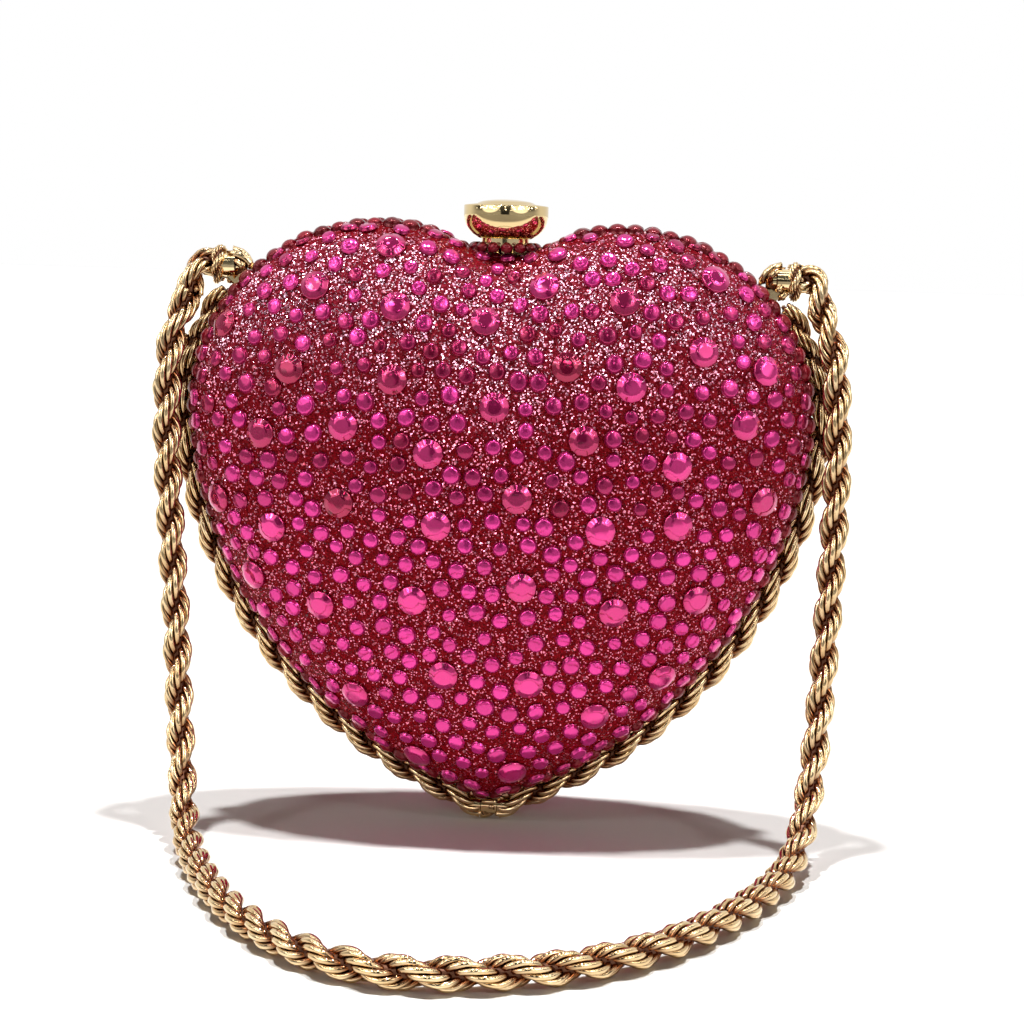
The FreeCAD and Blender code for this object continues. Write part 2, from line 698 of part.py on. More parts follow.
lug_start = "Sizes.lug_out - 0.5 * Sizes.lug_length"
eye_bore = "Sizes.strap_pin_radius + Sizes.fit"
bore_start = on_lug("Sizes.lug_out - 2 * Sizes.lug_length")
lug_barrel = rod("lug_barrel", "Sizes.lug_eye", "Sizes.lug_length", on_lug(lug_start), along_x)
lug_bore = rod("lug_bore", eye_bore, "4 * Sizes.lug_length", bore_start, along_x)
button_room = "Sizes.strap_pin_head_radius + Sizes.free_gap"
button_way_start = on_lug(lug_start + " - 2 * Sizes.lug_length")
button_way = rod("lug_button_way", button_room, "2 * Sizes.lug_length", button_way_start, along_x)
lug_blank = joined("lug_blank", [lug_tab, lug_barrel])
strap_lug_right = cut("strap_lug_right", lug_blank, [lug_bore, button_way, frame_prism_body])
strap_lug_left = mirrored("strap_lug_left", strap_lug_right, vector(1, 0, 0))

lug_end = "Sizes.lug_out + 0.5 * Sizes.lug_length + Sizes.free_gap"
pin_length = "Sizes.lug_length + 2 * Sizes.free_gap + Sizes.strap_eye_wall"
shank_start = on_lug(lug_start + " - Sizes.free_gap")
button_start = on_lug(lug_start + " - Sizes.free_gap - Sizes.strap_pin_head")
strap_pin_right = joined(
    "strap_pin_right",
    [
        rod("strap_pin_shank", "Sizes.strap_pin_radius", pin_length, shank_start, along_x),
        rod("strap_pin_button", "Sizes.strap_pin_head_radius", "Sizes.strap_pin_head", button_start, along_x),
    ],
)
strap_pin_left = mirrored("strap_pin_left", strap_pin_right, vector(1, 0, 0))

cap_heading = vector(*strap_cap_shares).normalize()
strap_cap = bind(
    document.addObject("Part::Cylinder", "strap_cap"),
    {"Radius": "Sizes.strap_cap_radius", "Height": "Sizes.strap_cap_length"},
)
strap_cap.Placement = FreeCAD.Placement(vector(0, 0, 0), FreeCAD.Rotation(vector(0, 0, 1), cap_heading))
place(
    strap_cap,
    "Sizes.lug_out + Sizes.strap_cap_out",
    "Sizes.lug_back - Sizes.strap_cap_fore",
    "Sizes.lug_up - Sizes.strap_cap_drop",
)
strap_eye = rod("strap_eye", "Sizes.strap_eye", "Sizes.strap_eye_wall", on_lug(lug_end), along_x)
eye_deep = "Sizes.strap_eye_wall + Sizes.overrun"
strap_eye_bore = rod("strap_eye_bore", eye_bore, eye_deep, on_lug(lug_end + " - Sizes.overrun"), along_x)
strap_end_blank = joined("strap_end_blank", [strap_cap, strap_eye])
strap_end_right = cut("strap_end_right", strap_end_blank, [strap_eye_bore])
strap_end_left = mirrored("strap_end_left", strap_end_right, vector(1, 0, 0))


# Straight runs joined by arcs that touch both of them.
def rounded_route(points):
    edges = []
    last = points[0]
    for before, here, after in zip(points, points[1:], points[2:]):
        back = before - here
        ahead = after - here
        run = strap_run_share * min(back.Length, ahead.Length)
        start = here + back.normalize() * run
        end = here + ahead.normalize() * run
        edges.append(Part.LineSegment(last, start).toShape())
        edges.append(corner_arc(start, here, end))
        last = end
    edges.append(Part.LineSegment(last, points[-1]).toShape())
    return edges


document.recompute()
strap_start = strap_cap.Placement.Base + cap_heading * size["strap_cap_length"]
strap_lead = strap_start + cap_heading * size["strap_lead"]
strap_middle = [vector(*point) for point in strap_fall_right + strap_floor + strap_rise_left]
strap_last = [vector(-point.x, point.y, point.z) for point in (strap_lead, strap_start)]
strap_points = [strap_start, strap_lead] + strap_middle + strap_last
print("strap", [round(value, 3) for value in strap_start], [round(value, 3) for value in strap_lead])
strap_chain = tube("strap_chain", rounded_route(strap_points), size["strap_radius"])

# Rope chain in the groove of the seam, from beside the hinge up each side.
centres = heart_centres(1)
rope_flank = size["flank_radius"] + size["rope_set"]
rope_lobe = size["lobe_radius"] + size["rope_set"]
turn_centre = vector(0, size["rope_radius"] + size["rope_turn"], 0)
reach = turn_centre - centres["flank"]
lean = math.acos((rope_flank - size["rope_turn"]) / reach.Length)
touch = heading(centres["flank"], turn_centre) + lean
to_lobe = heading(centres["flank"], centres["lobe"])


def in_seam(centre, radius, angle):
    return vector(centre.x + radius * math.cos(angle), 0, centre.y + radius * math.sin(angle))


def seam_arc(centre, radius, start, end):
    points = [in_seam(centre, radius, angle) for angle in (start, (start + end) / 2, end)]
    return Part.Arc(*points).toShape()


rope_slope = touch + math.pi / 2
hinge_reach = size["hinge_length"] / 2 + size["hinge_head"]
rope_clear = hinge_reach + size["free_gap"] + size["rope_radius"] * math.sin(rope_slope)
rope_touch = in_seam(centres["flank"], rope_flank, touch)
rope_run = (rope_touch.x - rope_clear) / math.cos(rope_slope)
rope_start = rope_touch - vector(math.cos(rope_slope), 0, math.sin(rope_slope)) * rope_run
rope_edges = [
    Part.LineSegment(rope_start, rope_touch).toShape(),
    seam_arc(centres["flank"], rope_flank, touch, to_lobe),
    seam_arc(centres["lobe"], rope_lobe, to_lobe, math.radians(size["rope_end_angle"])),
]
rope_trim_right = tube("rope_trim_right", rope_edges, size["rope_radius"])
rope_trim_left = mirrored("rope_trim_left", rope_trim_right, vector(1, 0, 0))

# Flat backed cut stones of two sizes, each laid on the dome where it stands.
document.recompute()
reach_out = size["lobe_out"] + size["lobe_radius"]
reach_up = size["lobe_height"] + size["lobe_radius"] - size["tip_height"]
dome_faces = [face for face in front_shell.Shape.Faces if face.BoundBox.YMin < -2 * size["frame_depth"]]
sight_start = -2 * (size["frame_depth"] + size["shell_depth"])


def cut_stone(sides, shape_shares, reach, height):
    rings = []
    for level_share, share in shape_shares:
        radius = share * reach
        level = level_share * height
        ring = []
        for number in range(sides):
            angle = 2 * math.pi * number / sides
            ring.append(vector(radius * math.cos(angle), radius * math.sin(angle), level))
        rings.append(ring + ring[:1])
    faces = [Part.Face(Part.makePolygon(rings[0])), Part.Face(Part.makePolygon(rings[-1]))]
    for low, high in zip(rings, rings[1:]):
        for number in range(sides):
            corners = [low[number], low[number + 1], high[number + 1], high[number], low[number]]
            faces.append(Part.Face(Part.makePolygon(corners)))
    stone = Part.Solid(Part.Shell(faces))
    if stone.Volume < 0:
        stone.reverse()
    return stone


def on_dome(share_out, share_up):
    x = share_out * reach_out
    z = size["tip_height"] + share_up * reach_up
    sight = Part.makeLine(vector(x, sight_start, z), vector(x, -size["frame_depth"], z))
    best = None
    for face in dome_faces:
        box = face.BoundBox
        if not (box.XMin < x < box.XMax and box.ZMin < z < box.ZMax):
            continue
        distance, pairs, marks = sight.distToShape(face)
        for pair, mark in zip(pairs, marks):
            if distance < size["fit"] and mark[3] == "Face" and (best is None or pair[1].y < best[0].y):
                best = (pair[1], face.normalAt(*mark[5]))
    if best and best[1].y > 0:
        best = (best[0], best[1] * -1)
    return best


def lay(stone, spot):
    point, normal = spot
    laid = stone.copy()
    turn = FreeCAD.Rotation(vector(0, 0, 1), normal)
    laid.Placement = FreeCAD.Placement(point + normal * size["stone_lift"], turn)
    return laid


large_stone = cut_stone(stone_sides, stone_shape_shares, size["stone_radius"], size["stone_height"])
large_spots = [on_dome(*shares) for shares in stone_shares]
front_stones = document.addObject("Part::Feature", "front_stones")
front_stones.Shape = Part.makeCompound([lay(large_stone, spot) for spot in large_spots])
back_stones = mirrored("back_stones", front_stones, front)

# The small stones fill the dome between the large ones. Two uneven steps spread their places without rows,
# and a place too near to another stone, to the rope or to the clasp stays free.
small_radius = size["small_stone_radius"]
small_apart = 2 * small_radius + size["small_stone_gap"]
large_apart = size["stone_radius"] + small_radius + size["small_stone_gap"]
clasp_apart = size["foot_radius"] + small_radius + size["small_stone_gap"]
seam_apart = size["rope_radius"] + size["small_stone_height"] + small_radius
clasp_foot = vector(0, 0, size["foot_low"])
small_spots = []
for number in range(small_stone_tries):
    share_out = 2 * (number * spread_shares[0] % 1) - 1
    share_up = number * spread_shares[1] % 1
    flat = vector(share_out * reach_out, 0, size["tip_height"] + share_up * reach_up)
    flat_gaps = [math.hypot(flat.x - point.x, flat.z - point.z) for point, normal in small_spots]
    if flat_gaps and min(flat_gaps) < near_share * small_apart:
        continue
    spot = on_dome(share_out, share_up)
    if not spot:
        continue
    point, normal = spot
    if normal.y > -facing_share or point.y > -seam_apart or (point - clasp_foot).Length < clasp_apart:
        continue
    if min((point - other[0]).Length for other in large_spots) < large_apart:
        continue
    if all((point - other[0]).Length > small_apart for other in small_spots):
        small_spots.append(spot)
small_stone = cut_stone(small_stone_sides, small_stone_shape_shares, small_radius, size["small_stone_height"])
front_small_stones = document.addObject("Part::Feature", "front_small_stones")
front_small_stones.Shape = Part.makeCompound([lay(small_stone, spot) for spot in small_spots])
back_small_stones = mirrored("back_small_stones", front_small_stones, front)

back_half = [
    back_frame, back_shell, back_lining, back_stones, back_small_stones, hinge_back_leaf, hinge_pin,
    hinge_back_rivets, clasp_base, clasp_spring, rope_trim_left, rope_trim_right,
    strap_lug_left, strap_lug_right,
]
front_half = [
    front_frame, front_shell, front_lining, front_stones, front_small_stones, hinge_front_leaf,
    hinge_front_rivets, clasp_catch, clasp_catch_rivets,
]
clasp_button = [clasp_knob, clasp_stem]
strap = [strap_pin_left, strap_pin_right, strap_end_left, strap_end_right, strap_chain]
nodes = back_half + front_half + clasp_button + strap
document.recompute()
for item in document.Objects:
    if "Invalid" in item.State or "Error" in item.State:
        raise ValueError("%s didn't build: %s" % (item.Name, item.State))
os.makedirs("parts", exist_ok=True)
for node in nodes:
    node.Label = node.Name
    shape = node.Shape
    if shape.isNull() or not shape.isValid() or shape.Volume <= 0:
        raise ValueError("%s has no valid shape" % node.Label)
    shape.exportStep("parts/%s.step" % node.Label)
    print(node.Label, "solids", len(shape.Solids), "volume", round(shape.Volume, 2))
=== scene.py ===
import bisect
import bmesh
import bpy
import itertools
import math
import random
from mathutils import Matrix, Vector
from mathutils.bvhtree import BVHTree


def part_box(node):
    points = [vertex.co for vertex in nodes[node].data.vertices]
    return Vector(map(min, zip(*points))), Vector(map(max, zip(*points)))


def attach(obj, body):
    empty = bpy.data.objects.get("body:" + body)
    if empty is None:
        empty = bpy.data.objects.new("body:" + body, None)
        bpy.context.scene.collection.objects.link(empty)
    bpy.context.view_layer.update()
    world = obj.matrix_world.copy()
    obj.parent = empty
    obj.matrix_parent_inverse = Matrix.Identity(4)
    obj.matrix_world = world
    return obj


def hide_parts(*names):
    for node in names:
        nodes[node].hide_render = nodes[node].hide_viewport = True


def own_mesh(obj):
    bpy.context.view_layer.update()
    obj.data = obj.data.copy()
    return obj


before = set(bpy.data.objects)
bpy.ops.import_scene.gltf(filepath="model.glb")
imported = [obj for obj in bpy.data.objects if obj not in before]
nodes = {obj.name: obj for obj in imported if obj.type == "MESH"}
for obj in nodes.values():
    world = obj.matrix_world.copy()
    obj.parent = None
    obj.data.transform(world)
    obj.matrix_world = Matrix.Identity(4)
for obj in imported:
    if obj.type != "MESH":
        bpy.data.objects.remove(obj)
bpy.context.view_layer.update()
print("frame loaded, nodes:", len(nodes))


# camera, set up for the low straight-on view
cameraView = {
    "eye": (0.0332, -0.5614, 0.1574), "aim": (0.0038, 0.0, 0.0834), "roll": 1.7, "lens": 75.4,
    "sensor": 36, "nearest": 0.01,
}
cameraData = bpy.data.cameras.new("camera")
cameraData.lens = cameraView["lens"]
cameraData.sensor_width = cameraView["sensor"]
cameraData.clip_start = cameraView["nearest"]
camera = bpy.data.objects.new("camera", cameraData)
bpy.context.collection.objects.link(camera)
sight = Vector(cameraView["aim"]) - Vector(cameraView["eye"])
roll = Matrix.Rotation(math.radians(cameraView["roll"]), 4, "Z")
turn = sight.to_track_quat("-Z", "Y").to_matrix().to_4x4() @ roll
camera.matrix_world = Matrix.Translation(cameraView["eye"]) @ turn
bpy.context.scene.camera = camera
bpy.context.scene.view_settings.view_transform = "Standard"
print("camera placed")


# small helpers for nodes and meshes
def addNode(tree, kind, **settings):
    node = tree.nodes.new(kind)
    for key, value in settings.items():
        setattr(node, key, value)
    return node


def joinSockets(tree, *pairs):
    for source, target in pairs:
        tree.links.new(source, target)


def newMaterial(name):
    material = bpy.data.materials.new(name)
    material.use_nodes = True
    tree = material.node_tree
    return material, tree, tree.nodes["Principled BSDF"]


def setInputs(node, values):
    for label, value in values.items():
        node.inputs[label].default_value = value


def newGroup(name, inputs, outputs):
    tree = bpy.data.node_groups.new(name, "ShaderNodeTree")
    for label, kind, value in inputs:
        socket = tree.interface.new_socket(label, in_out="INPUT", socket_type=kind)
        socket.default_value = value
    for label, kind in outputs:
        tree.interface.new_socket(label, in_out="OUTPUT", socket_type=kind)
    return tree, tree.nodes.new("NodeGroupInput"), tree.nodes.new("NodeGroupOutput")


def placeGroup(tree, group, values):
    node = addNode(tree, "ShaderNodeGroup", node_tree=group)
    setInputs(node, values)
    return node


# each of the two colours is a plain colour or comes from another node
def blendColours(tree, factor, first, second):
    mix = addNode(tree, "ShaderNodeMix", data_type="RGBA")
    tree.links.new(factor, mix.inputs["Factor"])
    for label, colour in (("A", first), ("B", second)):
        if isinstance(colour, tuple):
            mix.inputs[label].default_value = colour + (1,)
        else:
            tree.links.new(colour, mix.inputs[label])
    return mix.outputs["Result"]


def smoothRange(tree, source, span, reach=(0, 1)):
    node = addNode(tree, "ShaderNodeMapRange", interpolation_type="SMOOTHSTEP")
    for label, value in zip(("From Min", "From Max", "To Min", "To Max"), span + reach):
        node.inputs[label].default_value = value
    tree.links.new(source, node.inputs["Value"])
    return node.outputs["Result"]


def mathNode(tree, operation, *terms):
    node = addNode(tree, "ShaderNodeMath", operation=operation)
    for socket, term in zip(node.inputs, terms):
        if isinstance(term, (int, float)):
            socket.default_value = term
        else:
            tree.links.new(term, socket)
    return node.outputs["Value"]


def keepPiece(bm, name, materials, body, smooth):
    mesh = bpy.data.meshes.new(name)
    bm.to_mesh(mesh)
    bm.free()
    for polygon in mesh.polygons:
        polygon.use_smooth = smooth
    for material in materials:
        mesh.materials.append(material)
    piece = bpy.data.objects.new(name, mesh)
    bpy.context.collection.objects.link(piece)
    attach(piece, body)
    return piece


def templateMesh(bm, name):
    bmesh.ops.recalc_face_normals(bm, faces=bm.faces[:])
    mesh = bpy.data.meshes.new(name)
    bm.to_mesh(mesh)
    bm.free()
    return mesh


# adds one copy of a template to a bmesh, and brightens or dulls the tones that the template has
def setInto(bm, template, place, tone=1.0):
    first = len(bm.verts)
    template.transform(place)
    bm.from_mesh(template)
    template.transform(place.inverted())
    bm.verts.ensure_lookup_table()
    layer = bm.verts.layers.float.get("tone")
    if layer:
        for vert in bm.verts[first:]:
            vert[layer] *= tone


# flakes: cells with their own tilt and tone, for glitter and facets
flakeTree, flakeIn, flakeOut = newGroup(
    "glitterFlakes",
    [("Scale", "NodeSocketFloat", 2000.0), ("Tilt", "NodeSocketFloat", 0.6)],
    [("Normal", "NodeSocketVector"), ("Tone", "NodeSocketFloat")],
)
flakePlace = addNode(flakeTree, "ShaderNodeTexCoord")
flakeCells = addNode(flakeTree, "ShaderNodeTexVoronoi", feature="F1")
flakeCentre = addNode(flakeTree, "ShaderNodeVectorMath", operation="SUBTRACT")
flakeCentre.inputs[1].default_value = (0.5, 0.5, 0.5)
flakeLean = addNode(flakeTree, "ShaderNodeVectorMath", operation="SCALE")
flakeFace = addNode(flakeTree, "ShaderNodeNewGeometry")
flakeSum = addNode(flakeTree, "ShaderNodeVectorMath", operation="ADD")
flakeUnit = addNode(flakeTree, "ShaderNodeVectorMath", operation="NORMALIZE")
flakeParts = addNode(flakeTree, "ShaderNodeSeparateColor")
joinSockets(
    flakeTree,
    (flakePlace.outputs["Object"], flakeCells.inputs["Vector"]),
    (flakeIn.outputs["Scale"], flakeCells.inputs["Scale"]),
    (flakeCells.outputs["Color"], flakeCentre.inputs[0]),
    (flakeCentre.outputs["Vector"], flakeLean.inputs[0]),
    (flakeIn.outputs["Tilt"], flakeLean.inputs["Scale"]),
    (flakeLean.outputs["Vector"], flakeSum.inputs[0]),
    (flakeFace.outputs["Normal"], flakeSum.inputs[1]),
    (flakeSum.outputs["Vector"], flakeUnit.inputs[0]),
    (flakeUnit.outputs["Vector"], flakeOut.inputs["Normal"]),
    (flakeCells.outputs["Color"], flakeParts.inputs["Color"]),
    (flakeParts.outputs["Red"], flakeOut.inputs["Tone"]),
)


# blotches: slow drift between two values, for plating, satin and steel
driftTree, driftIn, driftOut = newGroup(
    "slowDrift",
    [("Scale", "NodeSocketFloat", 60.0), ("Low", "NodeSocketFloat", 0.0), ("High", "NodeSocketFloat", 1.0)],
    [("Value", "NodeSocketFloat")],
)
driftSpec = {"detail": 3, "from": 0.3, "to": 0.7}
driftPlace = addNode(driftTree, "ShaderNodeTexCoord")
driftNoise = addNode(driftTree, "ShaderNodeTexNoise")
driftNoise.inputs["Detail"].default_value = driftSpec["detail"]
driftRange = addNode(driftTree, "ShaderNodeMapRange")
driftRange.inputs["From Min"].default_value = driftSpec["from"]
driftRange.inputs["From Max"].default_value = driftSpec["to"]
joinSockets(
    driftTree,
    (driftPlace.outputs["Object"], driftNoise.inputs["Vector"]),
    (driftIn.outputs["Scale"], driftNoise.inputs["Scale"]),
    (driftNoise.outputs["Fac"], driftRange.inputs["Value"]),
    (driftIn.outputs["Low"], driftRange.inputs["To Min"]),
    (driftIn.outputs["High"], driftRange.inputs["To Max"]),
    (driftRange.outputs["Result"], driftOut.inputs["Value"]),
)


def driftColour(tree, scale, deep, bright):
    drift = placeGroup(tree, driftTree, {"Scale": scale, "Low": 0.0, "High": 1.0})
    return blendColours(tree, drift.outputs["Value"], deep, bright)


# metals: colour and polish drift slowly; with a painted shade colour, that shows where the tone is low
def metalFinish(name, spec):
    material, tree, shader = newMaterial(name)
    colour = driftColour(tree, spec["scale"], spec["deep"], spec["bright"])
    if "inner" in spec:
        tone = addNode(tree, "ShaderNodeAttribute", attribute_name="tone")
        colour = blendColours(tree, tone.outputs["Fac"], spec["inner"], colour)
    low, high = spec["polish"]
    polish = placeGroup(tree, driftTree, {"Scale": spec["polishScale"], "Low": low, "High": high})
    tree.links.new(colour, shader.inputs["Base Color"])
    tree.links.new(polish.outputs["Value"], shader.inputs["Roughness"])
    shader.inputs["Metallic"].default_value = 1
    return material


# plated gold; on the rope a painted shade, browner towards the middle, where the wires shade each other
giltSpec = {
    "deep": (0.82, 0.60, 0.30), "bright": (0.94, 0.77, 0.47), "scale": 140.0,
    "polish": (0.05, 0.12), "polishScale": 420.0,
}
ropeFinish = {
    "inner": (0.16, 0.045, 0.012), "deep": (0.72, 0.50, 0.25), "bright": (0.90, 0.71, 0.43), "scale": 140.0,
    "polish": (0.03, 0.09), "polishScale": 420.0,
}
knobFinish = {
    "deep": (0.66, 0.50, 0.25), "bright": (0.74, 0.57, 0.30), "scale": 90.0,
    "polish": (0.015, 0.05), "polishScale": 300.0,
}
wireSpec = {
    "deep": (0.42, 0.42, 0.43), "bright": (0.58, 0.58, 0.59), "scale": 220.0,
    "polish": (0.18, 0.34), "polishScale": 500.0,
}
gilt = metalFinish("paleGilt", giltSpec)
ropeGilt = metalFinish("ropeGilt", ropeFinish)
knobGilt = metalFinish("knobGilt", knobFinish)
springSteel = metalFinish("springWire", wireSpec)

# painted shade: dark dull gold for the core tube, which stands in for the shade between the wires
shadeSpec = {"deep": (0.055, 0.016, 0.005), "bright": (0.11, 0.036, 0.012), "scale": 200.0}
shade, shadeTree, shadeShader = newMaterial("shadedGilt")
shadeColour = driftColour(shadeTree, shadeSpec["scale"], shadeSpec["deep"], shadeSpec["bright"])
shadeTree.links.new(shadeColour, shadeShader.inputs["Base Color"])
setInputs(shadeShader, {"Roughness": 0.45, "Metallic": 0.6})

# glittering crimson ground; where the dome faces up it is painted lighter, with more and paler sparks: a
# painted highlight
groundSpec = {
    "flake": 3000.0, "tilt": 0.9, "dark": (0.10, 0.0014, 0.0035), "light": (0.33, 0.006, 0.013),
    "lightHigh": (0.46, 0.030, 0.060), "spark": (0.80, 0.22, 0.34), "sparkHigh": (1.0, 0.58, 0.74),
    "sparkFrom": 0.88, "sparkMore": -0.08, "rise": (0.02, 0.34), "fall": (0.60, 0.85),
}
ground, groundTree, groundShader = newMaterial("crimsonGlitter")
groundFace = addNode(groundTree, "ShaderNodeNewGeometry")
groundParts = addNode(groundTree, "ShaderNodeSeparateXYZ")
groundTree.links.new(groundFace.outputs["Normal"], groundParts.inputs["Vector"])
# painted highlight: lighter ground and more, paler sparks where the normal faces up
paintedUpRise = smoothRange(groundTree, groundParts.outputs["Z"], groundSpec["rise"])
paintedUpFall = smoothRange(groundTree, groundParts.outputs["Z"], groundSpec["fall"], (1, 0))
paintedUpLight = mathNode(groundTree, "MULTIPLY", paintedUpRise, paintedUpFall)
groundLimit = mathNode(
    groundTree, "MULTIPLY_ADD", paintedUpLight, groundSpec["sparkMore"], groundSpec["sparkFrom"]
)
groundPaintedLit = blendColours(groundTree, paintedUpLight, groundSpec["light"], groundSpec["lightHigh"])
sparkWithPaintedGlint = blendColours(groundTree, paintedUpLight, groundSpec["spark"], groundSpec["sparkHigh"])
groundFlakes = placeGroup(groundTree, flakeTree, {"Scale": groundSpec["flake"], "Tilt": groundSpec["tilt"]})
groundBase = blendColours(groundTree, groundFlakes.outputs["Tone"], groundSpec["dark"], groundPaintedLit)
groundSpark = mathNode(groundTree, "GREATER_THAN", groundFlakes.outputs["Tone"], groundLimit)
groundColour = blendColours(groundTree, groundSpark, groundBase, sparkWithPaintedGlint)
joinSockets(
    groundTree,
    (groundColour, groundShader.inputs["Base Color"]),
    (groundSpark, groundShader.inputs["Metallic"]),
    (groundFlakes.outputs["Normal"], groundShader.inputs["Normal"]),
)
setInputs(groundShader, {"Roughness": 0.16, "Specular IOR Level": 0.03})


# foil-backed stones, darker or lighter by the tone: a random tone for each stone, with painted shade at the
# girdle and high on the dome
def stoneMaterial(name, spec):
    material, tree, shader = newMaterial(name)
    tone = addNode(tree, "ShaderNodeAttribute", attribute_name="tone")
    colour = blendColours(tree, tone.outputs["Fac"], spec["deep"], spec["bright"])
    flakes = placeGroup(tree, flakeTree, {"Scale": spec["flake"], "Tilt": spec["tilt"]})
    tree.links.new(colour, shader.inputs["Base Color"])
    tree.links.new(flakes.outputs["Normal"], shader.inputs["Normal"])
    setInputs(shader, {
        "Metallic": spec["metallic"], "Roughness": spec["roughness"], "Specular IOR Level": 0.2,
        "Coat Weight": spec["coat"], "Coat Roughness": 0.03,
    })
    return material


middleSpec = {
    "deep": (0.24, 0.004, 0.020), "bright": (0.84, 0.046, 0.34), "flake": 700.0, "tilt": 0.10,
    "metallic": 0.62, "roughness": 0.12, "coat": 0.35,
}
largeSpec = {
    "deep": (0.30, 0.005, 0.030), "bright": (0.86, 0.040, 0.30), "flake": 420.0, "tilt": 0.06,
    "metallic": 0.7, "roughness": 0.05, "coat": 0.7,
}
seedSpec = {
    "deep": (0.34, 0.008, 0.026), "bright": (0.98, 0.42, 0.60), "flake": 1500.0, "tilt": 0.25,
    "metallic": 0.7, "roughness": 0.10, "coat": 0.8,
}
beadSpec = {
    "deep": (0.13, 0.002, 0.006), "bright": (0.30, 0.006, 0.022), "flake": 600.0, "tilt": 0.10,
    "metallic": 0.25, "roughness": 0.12, "coat": 0.15,
}
middleFoil = stoneMaterial("middleStoneFoil", middleSpec)
largeFoil = stoneMaterial("largeStoneFoil", largeSpec)
seedFoil = stoneMaterial("seedStoneFoil", seedSpec)
beadFoil = stoneMaterial("rimBeadFoil", beadSpec)

# blush satin of the lining
satinSpec = {
    "deep": (0.55, 0.30, 0.24), "bright": (0.72, 0.45, 0.36), "scale": 45.0, "weave": 900, "waver": 0.6,
    "bump": 0.25, "bumpHeight": 0.0002,
}
satin, satinTree, satinShader = newMaterial("blushSatin")
satinPlace = addNode(satinTree, "ShaderNodeTexCoord")
satinWeave = addNode(satinTree, "ShaderNodeTexWave", wave_type="BANDS", bands_direction="DIAGONAL")
setInputs(satinWeave, {"Scale": satinSpec["weave"], "Distortion": satinSpec["waver"]})
satinBump = addNode(satinTree, "ShaderNodeBump")
setInputs(satinBump, {"Strength": satinSpec["bump"], "Distance": satinSpec["bumpHeight"]})
satinColour = driftColour(satinTree, satinSpec["scale"], satinSpec["deep"], satinSpec["bright"])
joinSockets(
    satinTree,
    (satinPlace.outputs["Object"], satinWeave.inputs["Vector"]),
    (satinWeave.outputs["Fac"], satinBump.inputs["Height"]),
    (satinBump.outputs["Normal"], satinShader.inputs["Normal"]),
    (satinColour, satinShader.inputs["Base Color"]),
)
setInputs(satinShader, {"Roughness": 0.45, "Sheen Weight": 0.4})

nodeFinish = {
    "back_shell": ground, "front_shell": ground, "back_lining": satin, "front_lining": satin,
    "back_stones": largeFoil, "front_stones": largeFoil, "back_small_stones": middleFoil,
    "front_small_stones": middleFoil, "clasp_spring": springSteel, "clasp_knob": knobGilt,
}
for name, node in nodes.items():
    finish = nodeFinish.get(name, gilt)
    if node.material_slots:
        for slot in node.material_slots:
            slot.material = finish
    else:
        node.data.materials.append(finish)
print("finishes set")


# even stations along a line, each with its heading and two cross directions
def stationsAlong(points, step, start=0.0):
    lengths = [0.0]
    for before, after in zip(points, points[1:]):
        lengths.append(lengths[-1] + (after - before).length)
    stations = []
    cross = None
    index = 0
    way = start
    while way <= lengths[-1]:
        while index < len(points) - 2 and lengths[index + 1] < way:
            index += 1
        share = (way - lengths[index]) / (lengths[index + 1] - lengths[index])
        place = points[index].lerp(points[index + 1], share)
        heading = (points[min(index + 2, len(points) - 1)] - points[max(index - 1, 0)]).normalized()
        if cross is None:
            cross = heading.cross(Vector((0, 1, 0))).normalized()
        cross = (cross - heading * cross.dot(heading)).normalized()
        stations.append((way, place, heading, cross, heading.cross(cross)))
        way += step
    return stations


# walls between neighbouring rings of corners, and a cap on each end
def skinRings(bm, rings):
    sides = len(rings[0])
    made = [bm.faces.new(rings[0][::-1]), bm.faces.new(rings[-1])]
    for low, high in zip(rings, rings[1:]):
        for number in range(sides):
            following = (number + 1) % sides
            made.append(bm.faces.new((low[number], low[following], high[following], high[number])))
    return made


# round rope: two plies wound round a line, each of wires wound the other way round the ply
def windRope(bm, stations, spec, scale=1.0):
    reach = spec["plyOut"] * scale
    turn = 2 * math.pi / (spec["pitch"] * scale)
    layer = bm.verts.layers.float.get("tone") or bm.verts.layers.float.new("tone")
    for ply in (0, math.pi):
        for wire in range(spec["wires"]):
            rings = []
            for way, place, heading, cross, side in stations:
                angle = turn * way + ply
                out = cross * math.cos(angle) + side * math.sin(angle)
                around = side * math.cos(angle) - cross * math.sin(angle)
                ahead = (heading + around * reach * turn).normalized()
                across = ahead.cross(out)
                lay = 2 * math.pi * (wire / spec["wires"] - way / (spec["lead"] * scale))
                away = out * math.cos(lay) + across * math.sin(lay)
                beside = across * math.cos(lay) - out * math.sin(lay)
                along = (ahead - beside * 2 * math.pi * spec["wireOut"] / spec["lead"]).normalized()
                flank = along.cross(away)
                centre = place + out * reach + away * spec["wireOut"] * scale
                ring = []
                for number in range(spec["wireSides"]):
                    corner = 2 * math.pi * number / spec["wireSides"]
                    spoke = away * math.cos(corner) + flank * math.sin(corner)
                    vert = bm.verts.new(centre + spoke * spec["wire"] * scale)
                    # painted shade: the tone is lower towards the rope's axis, where the wires shade each other
                    depth = (vert.co - place).length / scale - spec["dark"]
                    vert[layer] = min(1, max(0, depth / (spec["light"] - spec["dark"])))
                    ring.append(vert)
                rings.append(ring)
            skinRings(bm, rings)


# a round tube along a line, closed at both ends
def tubeAlong(bm, stations, radius, sides, slot=0):
    rings = []
    for way, place, heading, cross, side in stations:
        ring = []
        for number in range(sides):
            angle = 2 * math.pi * number / sides
            ring.append(bm.verts.new(place + (cross * math.cos(angle) + side * math.sin(angle)) * radius))
        rings.append(ring)
    for face in skinRings(bm, rings):
        face.material_index = slot


